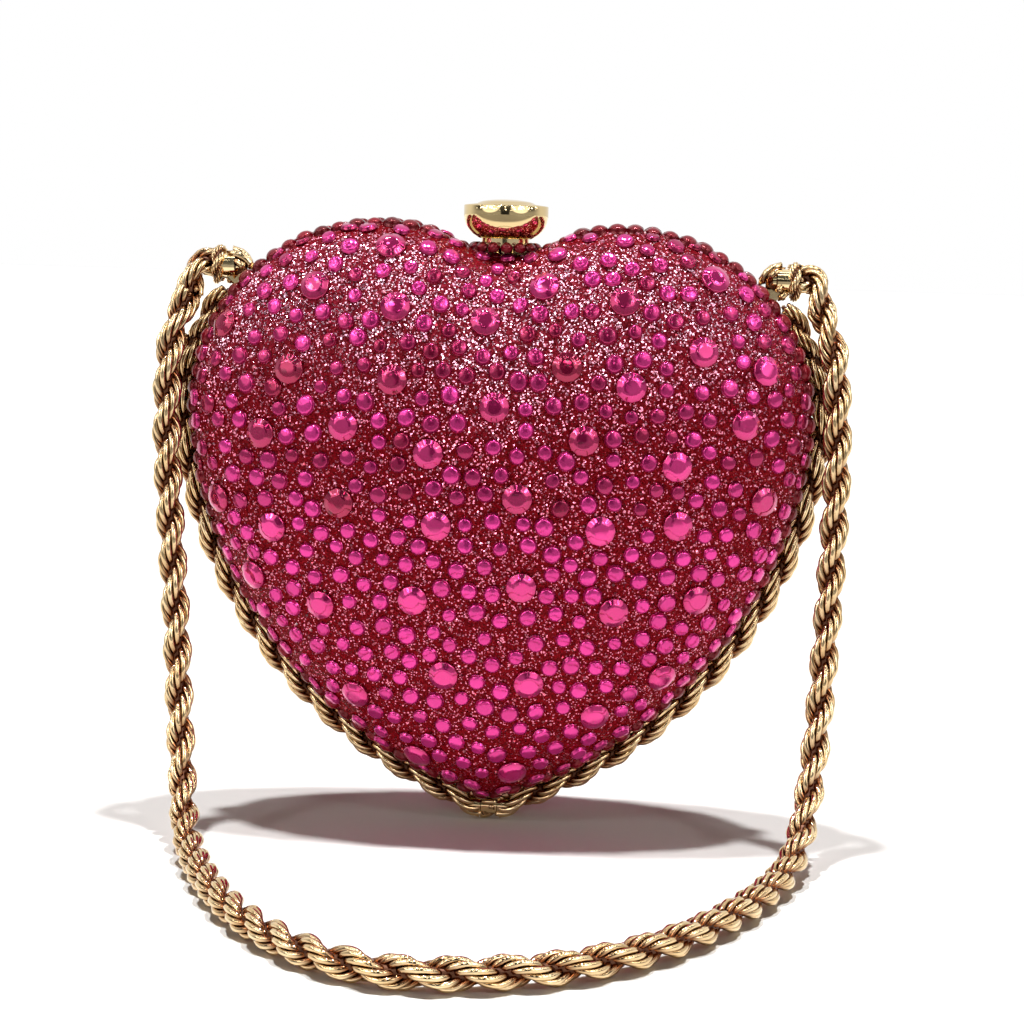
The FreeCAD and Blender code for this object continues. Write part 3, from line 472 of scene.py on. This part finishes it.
def layRope(bm, points, spec, scale=1.0):
    stations = stationsAlong(points, spec["step"] * scale)
    windRope(bm, stations, spec, scale)
    # the dark core tube is painted shade between the wires
    tubeAlong(bm, stations, spec["core"] * scale, spec["coreSides"], 1)


def keepRope(bm, name, body):
    return keepPiece(bm, name, [ropeGilt, shade], body, True)


ropeSpec = {
    "plyOut": 0.0017, "wireOut": 0.0014, "wire": 0.0008, "wires": 5, "lead": 0.0098, "pitch": 0.0228,
    "step": 0.0005, "wireSides": 6, "core": 0.0016, "coreSides": 8, "dark": 0.0022, "light": 0.0038,
}

# strap: the route of its line, from the right end to the left
strapRoute = [
    (0.0824, -0.0017, 0.1388), (0.0859, -0.0060, 0.1295), (0.0868, -0.0084, 0.1195),
    (0.0876, -0.0108, 0.1000), (0.0872, -0.0132, 0.0780), (0.0862, -0.0165, 0.0550),
    (0.0848, -0.0220, 0.0330), (0.0822, -0.0315, 0.0150), (0.0785, -0.0460, 0.0060),
    (0.0725, -0.0620, 0.0040), (0.0630, -0.0835, 0.0040), (0.0485, -0.1070, 0.0040),
    (0.0285, -0.1255, 0.0040), (0.0070, -0.1335, 0.0040), (-0.0130, -0.1355, 0.0040),
    (-0.0320, -0.1245, 0.0040), (-0.0480, -0.1050, 0.0040), (-0.0590, -0.0840, 0.0040),
    (-0.0670, -0.0640, 0.0040), (-0.0730, -0.0465, 0.0060), (-0.0768, -0.0320, 0.0150),
    (-0.0798, -0.0225, 0.0330), (-0.0820, -0.0170, 0.0550), (-0.0844, -0.0135, 0.0780),
    (-0.0864, -0.0108, 0.1000), (-0.0867, -0.0085, 0.1195), (-0.0859, -0.0060, 0.1295),
    (-0.0824, -0.0017, 0.1388),
]


def splinePoints(name, route):
    curve = bpy.data.curves.new(name, "CURVE")
    curve.dimensions = "3D"
    curve.resolution_u = 16
    spline = curve.splines.new("NURBS")
    spline.points.add(len(route) - 1)
    for point, place in zip(spline.points, route):
        point.co = place + (1,)
    spline.order_u = 3
    spline.use_endpoint_u = True
    holder = bpy.data.objects.new(name, curve)
    line = bpy.data.meshes.new_from_object(holder)
    points = [vert.co.copy() for vert in line.vertices]
    bpy.data.objects.remove(holder)
    bpy.data.curves.remove(curve)
    bpy.data.meshes.remove(line)
    return points


strapLine = splinePoints("strapLine", strapRoute)
bm = bmesh.new()
layRope(bm, strapLine, ropeSpec)
strapRope = keepRope(bm, "strapRope", "strap")
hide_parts("strap_chain")

# rope ends over each pin, and a short thicker piece on the lug
endSpec = {
    "route": [
        (0.0826, -0.0020, 0.1383), (0.0818, 0.0002, 0.1446), (0.0798, 0.0012, 0.1470),
        (0.0772, 0.0016, 0.1466), (0.0758, 0.0016, 0.1462),
    ],
    "lugRoute": [(0.0720, 0.0016, 0.1461), (0.0709, 0.0016, 0.1461), (0.0694, 0.0018, 0.1440)],
    "lugScale": 1.3,
}
# the knot at each strap end: thin rope wound once round the lug
knotSpec = {
    "from": 0.0748, "to": 0.0760, "y": 0.0016, "z": 0.1461, "radius": 0.0038, "turns": 1.25, "steps": 30,
    "scale": 0.42,
}
for sideName, sign in (("right", 1), ("left", -1)):
    for name, body, route, scale in (
        ("strapEndRope_", "strap", endSpec["route"], 1.0),
        ("lugRope_", "back_half", endSpec["lugRoute"], endSpec["lugScale"]),
    ):
        bm = bmesh.new()
        layRope(bm, splinePoints("endLine", [(sign * x, y, z) for x, y, z in route]), ropeSpec, scale)
        rope = keepRope(bm, name + sideName, body)
        if body == "strap":
            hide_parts("strap_end_" + sideName)
for sideName, sign in (("right", 1), ("left", -1)):
    knotLine = []
    for number in range(knotSpec["steps"] + 1):
        share = number / knotSpec["steps"]
        angle = 2 * math.pi * knotSpec["turns"] * share
        aside = knotSpec["from"] + (knotSpec["to"] - knotSpec["from"]) * share
        out = Vector((0, math.cos(angle), math.sin(angle))) * knotSpec["radius"]
        knotLine.append(Vector((sign * aside, knotSpec["y"], knotSpec["z"])) + out)
    bm = bmesh.new()
    layRope(bm, knotLine, ropeSpec, knotSpec["scale"])
    keepRope(bm, "strapKnot_" + sideName, "strap")
print("strap ends wound")


# outline of the heart in the seam, as arcs: tip, flank, lobe, cleft
heart = {
    "lobe": (0.0318, 0.1092), "lobeRadius": 0.0492, "flankRadius": 0.116, "tip": (0.0, 0.0145),
    "tipRadius": 0.007, "cleftRadius": 0.0223,
}


def crossing(first, firstReach, second, secondReach):
    gap = Vector(second) - Vector(first)
    along = (firstReach ** 2 - secondReach ** 2 + gap.length ** 2) / (2 * gap.length)
    off = math.sqrt(firstReach ** 2 - along ** 2)
    unit = gap.normalized()
    return Vector(first) + unit * along + Vector((-unit.y, unit.x)) * off


def headingOf(start, end):
    gap = Vector(end) - Vector(start)
    return math.atan2(gap.y, gap.x)


def arcPoints(centre, radius, start, end, steps):
    points = []
    for number in range(steps + 1):
        angle = start + (end - start) * number / steps
        points.append(Vector((centre[0] + radius * math.cos(angle), 0, centre[1] + radius * math.sin(angle))))
    return points


flank = crossing(
    heart["tip"], heart["flankRadius"] - heart["tipRadius"],
    heart["lobe"], heart["flankRadius"] - heart["lobeRadius"],
)
toTip = headingOf(flank, heart["tip"])
toLobe = headingOf(flank, heart["lobe"])
cleftReach = heart["lobeRadius"] + heart["cleftRadius"]
cleft = (0.0, heart["lobe"][1] + math.sqrt(cleftReach ** 2 - heart["lobe"][0] ** 2))
toCleft = headingOf(heart["lobe"], cleft)

# rope trim: round the tip, up the flank and on to the shoulder, where it goes on thinner
trimSpec = {
    "set": 0.003, "turn": 0.016, "axisUp": 0.0039, "end": math.radians(20), "thinEnd": math.radians(36),
    "thin": 0.8, "thinSet": 0.0006, "frontSpan": 0.0021,
    "turnSteps": 24, "flankSteps": 60, "lobeSteps": 30, "thinSteps": 16,
}
turnCentre = (0.0, trimSpec["axisUp"] + trimSpec["turn"])
trimFlank = heart["flankRadius"] + trimSpec["set"]
trimLobe = heart["lobeRadius"] + trimSpec["set"]
turnReach = (Vector(turnCentre) - flank).length
touch = headingOf(flank, turnCentre) + math.acos((trimFlank - trimSpec["turn"]) / turnReach)
trimLine = arcPoints(turnCentre, trimSpec["turn"], -math.pi / 2, touch, trimSpec["turnSteps"])
trimLine += arcPoints(flank, trimFlank, touch, toLobe, trimSpec["flankSteps"])
trimLine += arcPoints(heart["lobe"], trimLobe, toLobe, trimSpec["end"], trimSpec["lobeSteps"])
thinLobe = trimLobe - trimSpec["thinSet"]
thinLine = arcPoints(heart["lobe"], thinLobe, trimSpec["end"], trimSpec["thinEnd"], trimSpec["thinSteps"])
leftLine = [Vector((-point.x, 0, point.z)) for point in trimLine if point.x > trimSpec["frontSpan"]]
thinLeft = [Vector((-point.x, 0, point.z)) for point in thinLine]
for sideName in ("left", "right"):
    bm = bmesh.new()
    layRope(bm, leftLine, ropeSpec)
    layRope(bm, thinLeft, ropeSpec, trimSpec["thin"])
    if sideName == "right":
        bmesh.ops.scale(bm, verts=bm.verts[:], vec=(-1, 1, 1))
        bmesh.ops.reverse_faces(bm, faces=bm.faces[:])
    trimRope = keepRope(bm, "trimRope_" + sideName, "back_half")
    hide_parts("rope_trim_" + sideName)
tipLine = [Vector((share * trimSpec["frontSpan"], 0, trimSpec["axisUp"])) for share in (-1, -0.5, 0, 0.5, 1)]
bm = bmesh.new()
layRope(bm, tipLine, ropeSpec)
keepRope(bm, "trimRope_tip", "front_half")
print("rope trim wound")


# stones: a flat base, a girdle and a crown up to the table, by extruding the top face
def cutStone(name, spec):
    bm = bmesh.new()
    layer = bm.verts.layers.float.new("tone")
    bmesh.ops.create_circle(bm, cap_ends=True, segments=spec["sides"], radius=spec["radius"])
    top = bm.faces[:][0]
    share = 1.0
    height = 0.0
    for nextHeight, nextShare, tone in spec["levels"]:
        grown = bmesh.ops.extrude_face_region(bm, geom=[top], use_keep_orig=height == 0.0)
        top = [item for item in grown["geom"] if isinstance(item, bmesh.types.BMFace)][0]
        bmesh.ops.translate(bm, verts=top.verts[:], vec=(0, 0, (nextHeight - height) * spec["height"]))
        middle = Matrix.Translation((0, 0, -nextHeight * spec["height"]))
        bmesh.ops.scale(bm, verts=top.verts[:], vec=(nextShare / share, nextShare / share, 1), space=middle)
        # the tone of each level; low at the girdle, partly the stone's deep colour, partly painted shade
        for vert in top.verts:
            vert[layer] = tone
        height = nextHeight
        share = nextShare
    return templateMesh(bm, name)


# levels: share of the height, share of the radius, tone (low at the girdle: partly the stone's deep colour,
# partly painted shade)
largeShape = {
    "sides": 12, "radius": 0.0041, "height": 0.0016,
    "levels": [(0.2, 1.0, 0.25), (0.62, 0.90, 0.6), (0.92, 0.68, 0.9), (1.0, 0.40, 1.0)],
}
middleShape = {
    "sides": 10, "radius": 0.0024, "height": 0.0011,
    "levels": [(0.35, 1.0, 0.45), (0.80, 0.88, 0.8), (1.0, 0.66, 1.0)],
}
seedShape = {"sides": 6, "radius": 0.0006, "height": 0.0005, "levels": [(1.0, 0.6, 1.0)]}
beadShape = {
    "sides": 12, "radius": 0.0026, "height": 0.0027,
    "levels": [(0.35, 1.0, 0.2), (0.65, 0.86, 0.6), (0.88, 0.56, 1.0), (1.0, 0.2, 1.0)],
}
largeMesh = cutStone("largeStone", largeShape)
middleMesh = cutStone("middleStone", middleShape)
seedMesh = cutStone("seedStone", seedShape)
beadMesh = cutStone("rimBead", beadShape)

# where the stones stand; fewer seed stones low down; painted shade makes stones high on the dome darker and low
# seed stones duller
fieldSpec = {
    "middle": Vector((0, 0, 0.085)), "rim": 0.0066, "sink": 0.00012, "spin": 6, "clearLarge": 0.0064,
    "cell": 0.0070, "highTone": (0.10, 0.85), "lowTone": (0.65, 1.0),
}
middleField = {"gap": 0.0051, "tries": 9000, "lean": 0.10, "size": (0.82, 1.08), "wide": (0.92, 1.08)}
seedField = {
    "gap": 0.0016, "cell": 0.0030, "tries": 9000, "lean": 0.5, "size": (0.6, 1.1), "stoneShare": 0.6,
    "least": 0.35, "sparseBelow": 0.03, "sparseSpan": 0.07,
    "leastTone": 0.2, "dullBelow": 0.05, "dullSpan": 0.06,
}
beadRow = {
    "depth": 0.0056, "gap": 0.0047, "out": 0.0010, "lean": 0.08, "size": (0.9, 1.05), "cleft": 0.018,
    "small": 0.66, "rayFrom": 0.02, "rayReach": 0.06, "tipSteps": 8, "sideSteps": 80, "cleftSteps": 12,
}


def standOn(place, normal, spin, stretch=(1, 1, 1)):
    upright = normal.to_track_quat("Z", "Y").to_matrix().to_4x4()
    size = Matrix.Diagonal(stretch + (1,))
    return Matrix.Translation(place) @ upright @ Matrix.Rotation(spin, 4, "Z") @ size


def leaned(normal, amount, dice):
    return (normal + Vector([dice.uniform(-amount, amount) for _ in range(3)])).normalized()


# keeps places apart, by a grid of buckets
class Spread:
    def __init__(self, cell):
        self.cell = cell
        self.buckets = {}

    def key(self, place):
        return tuple(int(math.floor(value / self.cell)) for value in place)

    # share scales the reach of the places that are taken
    def free(self, place, gap, share=1.0):
        x, y, z = self.key(place)
        for dx, dy, dz in itertools.product((-1, 0, 1), repeat=3):
            for other, reach in self.buckets.get((x + dx, y + dy, z + dz), ()):
                if (other - place).length < max(gap, reach * share):
                    return False
        return True

    def add(self, place, reach):
        self.buckets.setdefault(self.key(place), []).append((place, reach))


# the middle of each separate solid of a mesh
def islandMiddles(mesh):
    bm = bmesh.new()
    bm.from_mesh(mesh)
    bmesh.ops.remove_doubles(bm, verts=bm.verts[:], dist=0.00001)
    left = set(bm.verts)
    middles = []
    for start in bm.verts:
        if start not in left:
            continue
        left.remove(start)
        island = []
        heap = [start]
        while heap:
            vert = heap.pop()
            island.append(vert)
            for edge in vert.link_edges:
                other = edge.other_vert(vert)
                if other in left:
                    left.remove(other)
                    heap.append(other)
        middles.append(sum((vert.co for vert in island), Vector()) / len(island))
    bm.free()
    return middles


def dressHalf(half, sign, seed):
    dice = random.Random(seed)
    shell = nodes[half + "_shell"].data
    corners = [vert.co.copy() for vert in shell.vertices]
    faces = [tuple(polygon.vertices) for polygon in shell.polygons]
    tree = BVHTree.FromPolygons(corners, faces)
    body = half + "_half"

    # outer triangles of the dome, with their running area
    outer = []
    running = []
    total = 0.0
    for polygon in shell.polygons:
        centre = polygon.center
        if sign * centre.y > fieldSpec["rim"] and polygon.normal.dot(centre - fieldSpec["middle"]) > 0:
            total += polygon.area
            outer.append(polygon)
            running.append(total)
    print(half, "dome, square millimetres:", round(total * 1e6))

    def randomPlace():
        polygon = outer[bisect.bisect_left(running, dice.uniform(0, total))]
        a, b, c = [corners[index] for index in polygon.vertices][:3]
        u, v = dice.random(), dice.random()
        if u + v > 1:
            u, v = 1 - u, 1 - v
        return a + (b - a) * u + (c - a) * v, polygon.normal.copy()

    def anySpin():
        return dice.uniform(0, fieldSpec["spin"])

    # painted shade: stones high on the dome are darker, and vary more
    def toneWithPaintedShade(place):
        high = place.z > fieldSpec["middle"].z
        return dice.uniform(*fieldSpec["highTone" if high else "lowTone"])

    # large and small stones stand where the frame has them
    taken = Spread(fieldSpec["cell"])
    largePlaces = [tree.find_nearest(spot)[:2] for spot in islandMiddles(nodes[half + "_stones"].data)]
    smallPlaces = [tree.find_nearest(spot)[:2] for spot in islandMiddles(nodes[half + "_small_stones"].data)]
    bm = bmesh.new()
    for place, normal in largePlaces:
        spot = standOn(place - normal * fieldSpec["sink"], normal, anySpin())
        setInto(bm, largeMesh, spot, toneWithPaintedShade(place))
        taken.add(place, fieldSpec["clearLarge"])
    large = keepPiece(bm, half + "LargeStones", [largeFoil], body, True)
    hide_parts(half + "_stones")

    def addMiddle(bm, place, normal):
        taken.add(place, middleField["gap"])
        size = dice.uniform(*middleField["size"])
        stretch = (size * dice.uniform(*middleField["wide"]), size, size)
        facing = leaned(normal, middleField["lean"], dice)
        spot = standOn(place - normal * fieldSpec["sink"], facing, anySpin(), stretch)
        setInto(bm, middleMesh, spot, toneWithPaintedShade(place))

    bm = bmesh.new()
    for place, normal in smallPlaces:
        addMiddle(bm, place, normal)
    small = keepPiece(bm, half + "SmallStones", [middleFoil], body, True)
    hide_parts(half + "_small_stones")

    # more of the same size, mostly where the dome turns to the seam
    bm = bmesh.new()
    middleCount = 0
    for _ in range(middleField["tries"]):
        place, normal = randomPlace()
        if taken.free(place, middleField["gap"]):
            addMiddle(bm, place, normal)
            middleCount += 1
    keepPiece(bm, half + "MiddleStones", [middleFoil], body, True)

    # seed stones fill the ground between
    seeds = Spread(seedField["cell"])
    bm = bmesh.new()
    seedCount = 0
    for _ in range(seedField["tries"]):
        place, normal = randomPlace()
        rise = min(1, max(0, (place.z - seedField["sparseBelow"]) / seedField["sparseSpan"]))
        if dice.random() > seedField["least"] + (1 - seedField["least"]) * rise:
            continue
        if not taken.free(place, 0, seedField["stoneShare"]) or not seeds.free(place, seedField["gap"]):
            continue
        seeds.add(place, seedField["gap"])
        size = dice.uniform(*seedField["size"])
        facing = leaned(normal, seedField["lean"], dice)
        spot = standOn(place - normal * fieldSpec["sink"], facing, anySpin(), (size, size, size))
        # painted shade: seed stones low on the dome are duller
        bright = min(1, max(seedField["leastTone"], (place.z - seedField["dullBelow"]) / seedField["dullSpan"]))
        setInto(bm, seedMesh, spot, dice.random() * bright)
        seedCount += 1
    keepPiece(bm, half + "SeedStones", [seedFoil], body, False)

    # a row of beads along the rim
    sideSteps, cleftSteps = beadRow["sideSteps"], beadRow["cleftSteps"]
    rim = arcPoints(heart["tip"], heart["tipRadius"], -math.pi / 2, toTip, beadRow["tipSteps"])
    rim += arcPoints(flank, heart["flankRadius"], toTip, toLobe, sideSteps)[1:]
    rim += arcPoints(heart["lobe"], heart["lobeRadius"], toLobe, toCleft, sideSteps)[1:]
    rim += arcPoints(cleft, heart["cleftRadius"], toCleft - math.pi, -math.pi / 2, cleftSteps)[1:]
    bm = bmesh.new()
    beadCount = 0
    for mirror in (1, -1):
        line = [Vector((mirror * point.x, sign * beadRow["depth"], point.z)) for point in rim]
        for way, place, heading, cross, side in stationsAlong(line, beadRow["gap"], beadRow["gap"] / 2):
            outward = Vector((heading.z, 0, -heading.x)) * mirror
            hit, normal, _, _ = tree.ray_cast(
                place + outward * beadRow["rayFrom"], -outward, beadRow["rayReach"]
            )
            if hit is None:
                continue
            inCleft = abs(hit.x) < beadRow["cleft"] and hit.z > heart["lobe"][1]
            size = dice.uniform(*beadRow["size"]) * (beadRow["small"] if inCleft else 1)
            facing = leaned(normal, beadRow["lean"], dice)
            spot = standOn(hit - normal * beadRow["out"], facing, anySpin(), (size, size, size))
            setInto(bm, beadMesh, spot, dice.random())
            beadCount += 1
    keepPiece(bm, half + "RimBeads", [beadFoil], body, True)
    print(half, "stones:", len(largePlaces), len(smallPlaces), middleCount, seedCount, beadCount)


halves = {"front": {"sign": -1, "seed": 11}, "back": {"sign": 1, "seed": 23}}
for half, spec in halves.items():
    dressHalf(half, spec["sign"], spec["seed"])


# knob: a bowl on a neck, a narrow band and a low dome, with the well for the collar below
knobShape = {
    "profile": [
        (0.0, 0.0044), (0.0065, 0.0044), (0.0065, 0.0), (0.0070, 0.0), (0.0076, 0.0003), (0.0087, 0.0011),
        (0.0097, 0.0021), (0.0104, 0.0032), (0.0108, 0.0044), (0.0110, 0.0058), (0.0110, 0.0083),
        (0.0108, 0.0085), (0.0076, 0.0089), (0.0072, 0.0092), (0.0060, 0.0096), (0.0030, 0.0100),
        (0.0, 0.0101),
    ],
    "steps": 72,
}
low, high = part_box("clasp_knob")
bm = bmesh.new()
rims = [bm.verts.new((radius, 0, low[2] + height)) for radius, height in knobShape["profile"]]
edges = [bm.edges.new(pair) for pair in zip(rims, rims[1:])]
bmesh.ops.spin(
    bm, geom=rims + edges, cent=(0, 0, 0), axis=(0, 0, 1), angle=2 * math.pi, steps=knobShape["steps"],
    use_merge=True, use_duplicate=False,
)
bmesh.ops.remove_doubles(bm, verts=bm.verts[:], dist=0.000001)
bmesh.ops.recalc_face_normals(bm, faces=bm.faces[:])
knob = keepPiece(bm, "pressKnob", [knobGilt], "clasp_button", True)
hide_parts("clasp_knob")
print("knob spun, box", [round(value, 5) for value in low], [round(value, 5) for value in high])

# return spring: a coil at the length of the frame's spring; it is not made to shorten when the knob is pressed
springSpec = {
    "radius": 0.0035, "wire": 0.0004, "sides": 8, "turns": 4, "turnSteps": 24, "step": 0.0004, "travel": 0.0013,
}
springLow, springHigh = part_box("clasp_spring")
coilSteps = springSpec["turns"] * springSpec["turnSteps"]
coilRise = springHigh[2] - springLow[2] - 2 * springSpec["wire"]
coilLine = []
for number in range(coilSteps + 1):
    angle = 2 * math.pi * number / springSpec["turnSteps"]
    up = springLow[2] + springSpec["wire"] + coilRise * number / coilSteps
    coilLine.append(Vector((math.cos(angle), math.sin(angle), 0)) * springSpec["radius"] + Vector((0, 0, up)))
bm = bmesh.new()
tubeAlong(bm, stationsAlong(coilLine, springSpec["step"]), springSpec["wire"], springSpec["sides"])
spring = keepPiece(bm, "returnSpring", [springSteel], "back_half", True)
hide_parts("clasp_spring")
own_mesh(spring)
print("spring coiled, box", [round(value, 5) for value in springLow], [round(value, 5) for value in springHigh])

# a ring of small beads round the foot of the clasp
footBeads = {"count": 15, "reach": 0.0080, "height": 0.1524, "size": 0.62, "lean": 0.8}
bm = bmesh.new()
for number in range(footBeads["count"]):
    angle = 2 * math.pi * (number + 0.5) / footBeads["count"]
    outward = Vector((math.cos(angle), math.sin(angle), 0))
    facing = (outward * footBeads["lean"] + Vector((0, 0, 1))).normalized()
    place = outward * footBeads["reach"] + Vector((0, 0, footBeads["height"]))
    setInto(bm, beadMesh, standOn(place, facing, angle, (footBeads["size"],) * 3))
keepPiece(bm, "footBeads", [beadFoil], "back_half", True)
print("foot beads set:", footBeads["count"])

# floor; mirrored in the gold and the stones, it darkens towards the front
floorSpec = {
    "size": 6, "drop": 0.0001, "deep": (0.90, 0.89, 0.87), "bright": (0.92, 0.91, 0.89), "scale": 2.0,
    "dark": (0.24, 0.235, 0.23), "darkToLight": (-0.34, -0.22),
}
floorMaterial, floorTree, floorShader = newMaterial("paleFloor")
floorColour = driftColour(floorTree, floorSpec["scale"], floorSpec["deep"], floorSpec["bright"])
floorPlace = addNode(floorTree, "ShaderNodeTexCoord")
floorParts = addNode(floorTree, "ShaderNodeSeparateXYZ")
floorTree.links.new(floorPlace.outputs["Object"], floorParts.inputs["Vector"])
floorNear = smoothRange(floorTree, floorParts.outputs["Y"], floorSpec["darkToLight"])
floorRays = addNode(floorTree, "ShaderNodeLightPath")
floorPlain = mathNode(floorTree, "SUBTRACT", 1, floorRays.outputs["Is Glossy Ray"])
floorShare = mathNode(floorTree, "MAXIMUM", floorNear, floorPlain)
floorMix = blendColours(floorTree, floorShare, floorSpec["dark"], floorColour)
floorTree.links.new(floorMix, floorShader.inputs["Base Color"])
setInputs(floorShader, {"Roughness": 0.7, "Specular IOR Level": 0.2})
bm = bmesh.new()
bmesh.ops.create_grid(bm, x_segments=1, y_segments=1, size=floorSpec["size"])
bmesh.ops.translate(bm, verts=bm.verts[:], vec=(0, 0, -floorSpec["drop"]))
floorMesh = bpy.data.meshes.new("floor")
bm.to_mesh(floorMesh)
bm.free()
floorMesh.materials.append(floorMaterial)
floor = bpy.data.objects.new("floor", floorMesh)
bpy.context.collection.objects.link(floor)

# sky: bright behind, dark in front and above, pale low at the sides; plain white to the camera
skySpec = {
    "front": 0.03, "top": 0.14, "upSpan": (0.15, 0.9), "back": 1.0, "backSpan": (-0.15, 0.45),
    "side": 0.45, "sideSpan": (0.16, 0.24), "lowSpan": (0.15, 0.45), "fill": (0.050, 0.034, 0.024),
    "box": 1.6, "boxSpan": (0.90, 0.94), "boxWays": [(-0.60, -0.62, 0.50), (0.60, -0.62, 0.50)],
    "spot": 9.0, "spotScale": 7.0, "spotSize": 0.30, "spotSpan": (0.3, 0.5),
}
world = bpy.data.worlds.new("studio")
bpy.context.scene.world = world
world.use_nodes = True
sky = world.node_tree
sky.nodes.clear()
skyPlace = addNode(sky, "ShaderNodeTexCoord")
skyParts = addNode(sky, "ShaderNodeSeparateXYZ")
skyWay = skyPlace.outputs["Generated"]
sky.links.new(skyWay, skyParts.inputs["Vector"])
skyBack = smoothRange(sky, skyParts.outputs["Y"], skySpec["backSpan"])
skyUp = smoothRange(sky, skyParts.outputs["Z"], skySpec["upSpan"], (skySpec["front"], skySpec["top"]))
skyAside = mathNode(sky, "ABSOLUTE", skyParts.outputs["X"])
skySide = smoothRange(sky, skyAside, skySpec["sideSpan"])
skyLow = smoothRange(sky, skyParts.outputs["Z"], skySpec["lowSpan"], (skySpec["side"], 0))
skySum = mathNode(sky, "MULTIPLY_ADD", skySide, skyLow, skyUp)

# two soft boxes high in front, seen only in reflections
for way in skySpec["boxWays"]:
    boxDot = addNode(sky, "ShaderNodeVectorMath", operation="DOT_PRODUCT")
    boxDot.inputs[1].default_value = Vector(way).normalized()
    sky.links.new(skyWay, boxDot.inputs[0])
    boxLight = smoothRange(sky, boxDot.outputs["Value"], skySpec["boxSpan"], (0, skySpec["box"]))
    skySum = mathNode(sky, "ADD", skySum, boxLight)

# many small lamps overhead, which make the stones glint
spotCells = addNode(sky, "ShaderNodeTexVoronoi", feature="F1")
spotCells.inputs["Scale"].default_value = skySpec["spotScale"]
sky.links.new(skyWay, spotCells.inputs["Vector"])
spotNear = mathNode(sky, "LESS_THAN", spotCells.outputs["Distance"], skySpec["spotSize"])
spotUp = smoothRange(sky, skyParts.outputs["Z"], skySpec["spotSpan"], (0, skySpec["spot"]))
skySum = mathNode(sky, "MULTIPLY_ADD", spotNear, spotUp, skySum)

skyMix = addNode(sky, "ShaderNodeMix", data_type="FLOAT")
skyMix.inputs["B"].default_value = skySpec["back"]
skyRays = addNode(sky, "ShaderNodeLightPath")
fillMix = blendColours(sky, skyRays.outputs["Is Glossy Ray"], skySpec["fill"], skyMix.outputs["Result"])
eyeMix = blendColours(sky, skyRays.outputs["Is Camera Ray"], fillMix, (1, 1, 1))
skyShader = addNode(sky, "ShaderNodeBackground")
skyOut = addNode(sky, "ShaderNodeOutputWorld")
joinSockets(
    sky,
    (skyBack, skyMix.inputs["Factor"]),
    (skySum, skyMix.inputs["A"]),
    (eyeMix, skyShader.inputs["Color"]),
    (skyShader.outputs["Background"], skyOut.inputs["Surface"]),
)

lampAim = Vector((0, 0, 0.06))
lamps = {
    "keyLampLeft": {"place": (-0.12, 0.03, 1.0), "angle": 3, "power": 2.2},
    "keyLampRight": {"place": (0.12, 0.02, 1.0), "angle": 3, "power": 2.2},
    "leftLamp": {"place": (-0.75, -0.75, 0.80), "angle": 8, "power": 0.2},
    "rightLamp": {"place": (0.75, -0.75, 0.75), "angle": 8, "power": 0.2},
}
for name, spec in lamps.items():
    lampData = bpy.data.lights.new(name, "SUN")
    lampData.angle = math.radians(spec["angle"])
    lampData.energy = spec["power"]
    lamp = bpy.data.objects.new(name, lampData)
    bpy.context.collection.objects.link(lamp)
    facing = (lampAim - Vector(spec["place"])).to_track_quat("-Z", "Y").to_matrix().to_4x4()
    lamp.matrix_world = Matrix.Translation(spec["place"]) @ facing
print("stage lit")
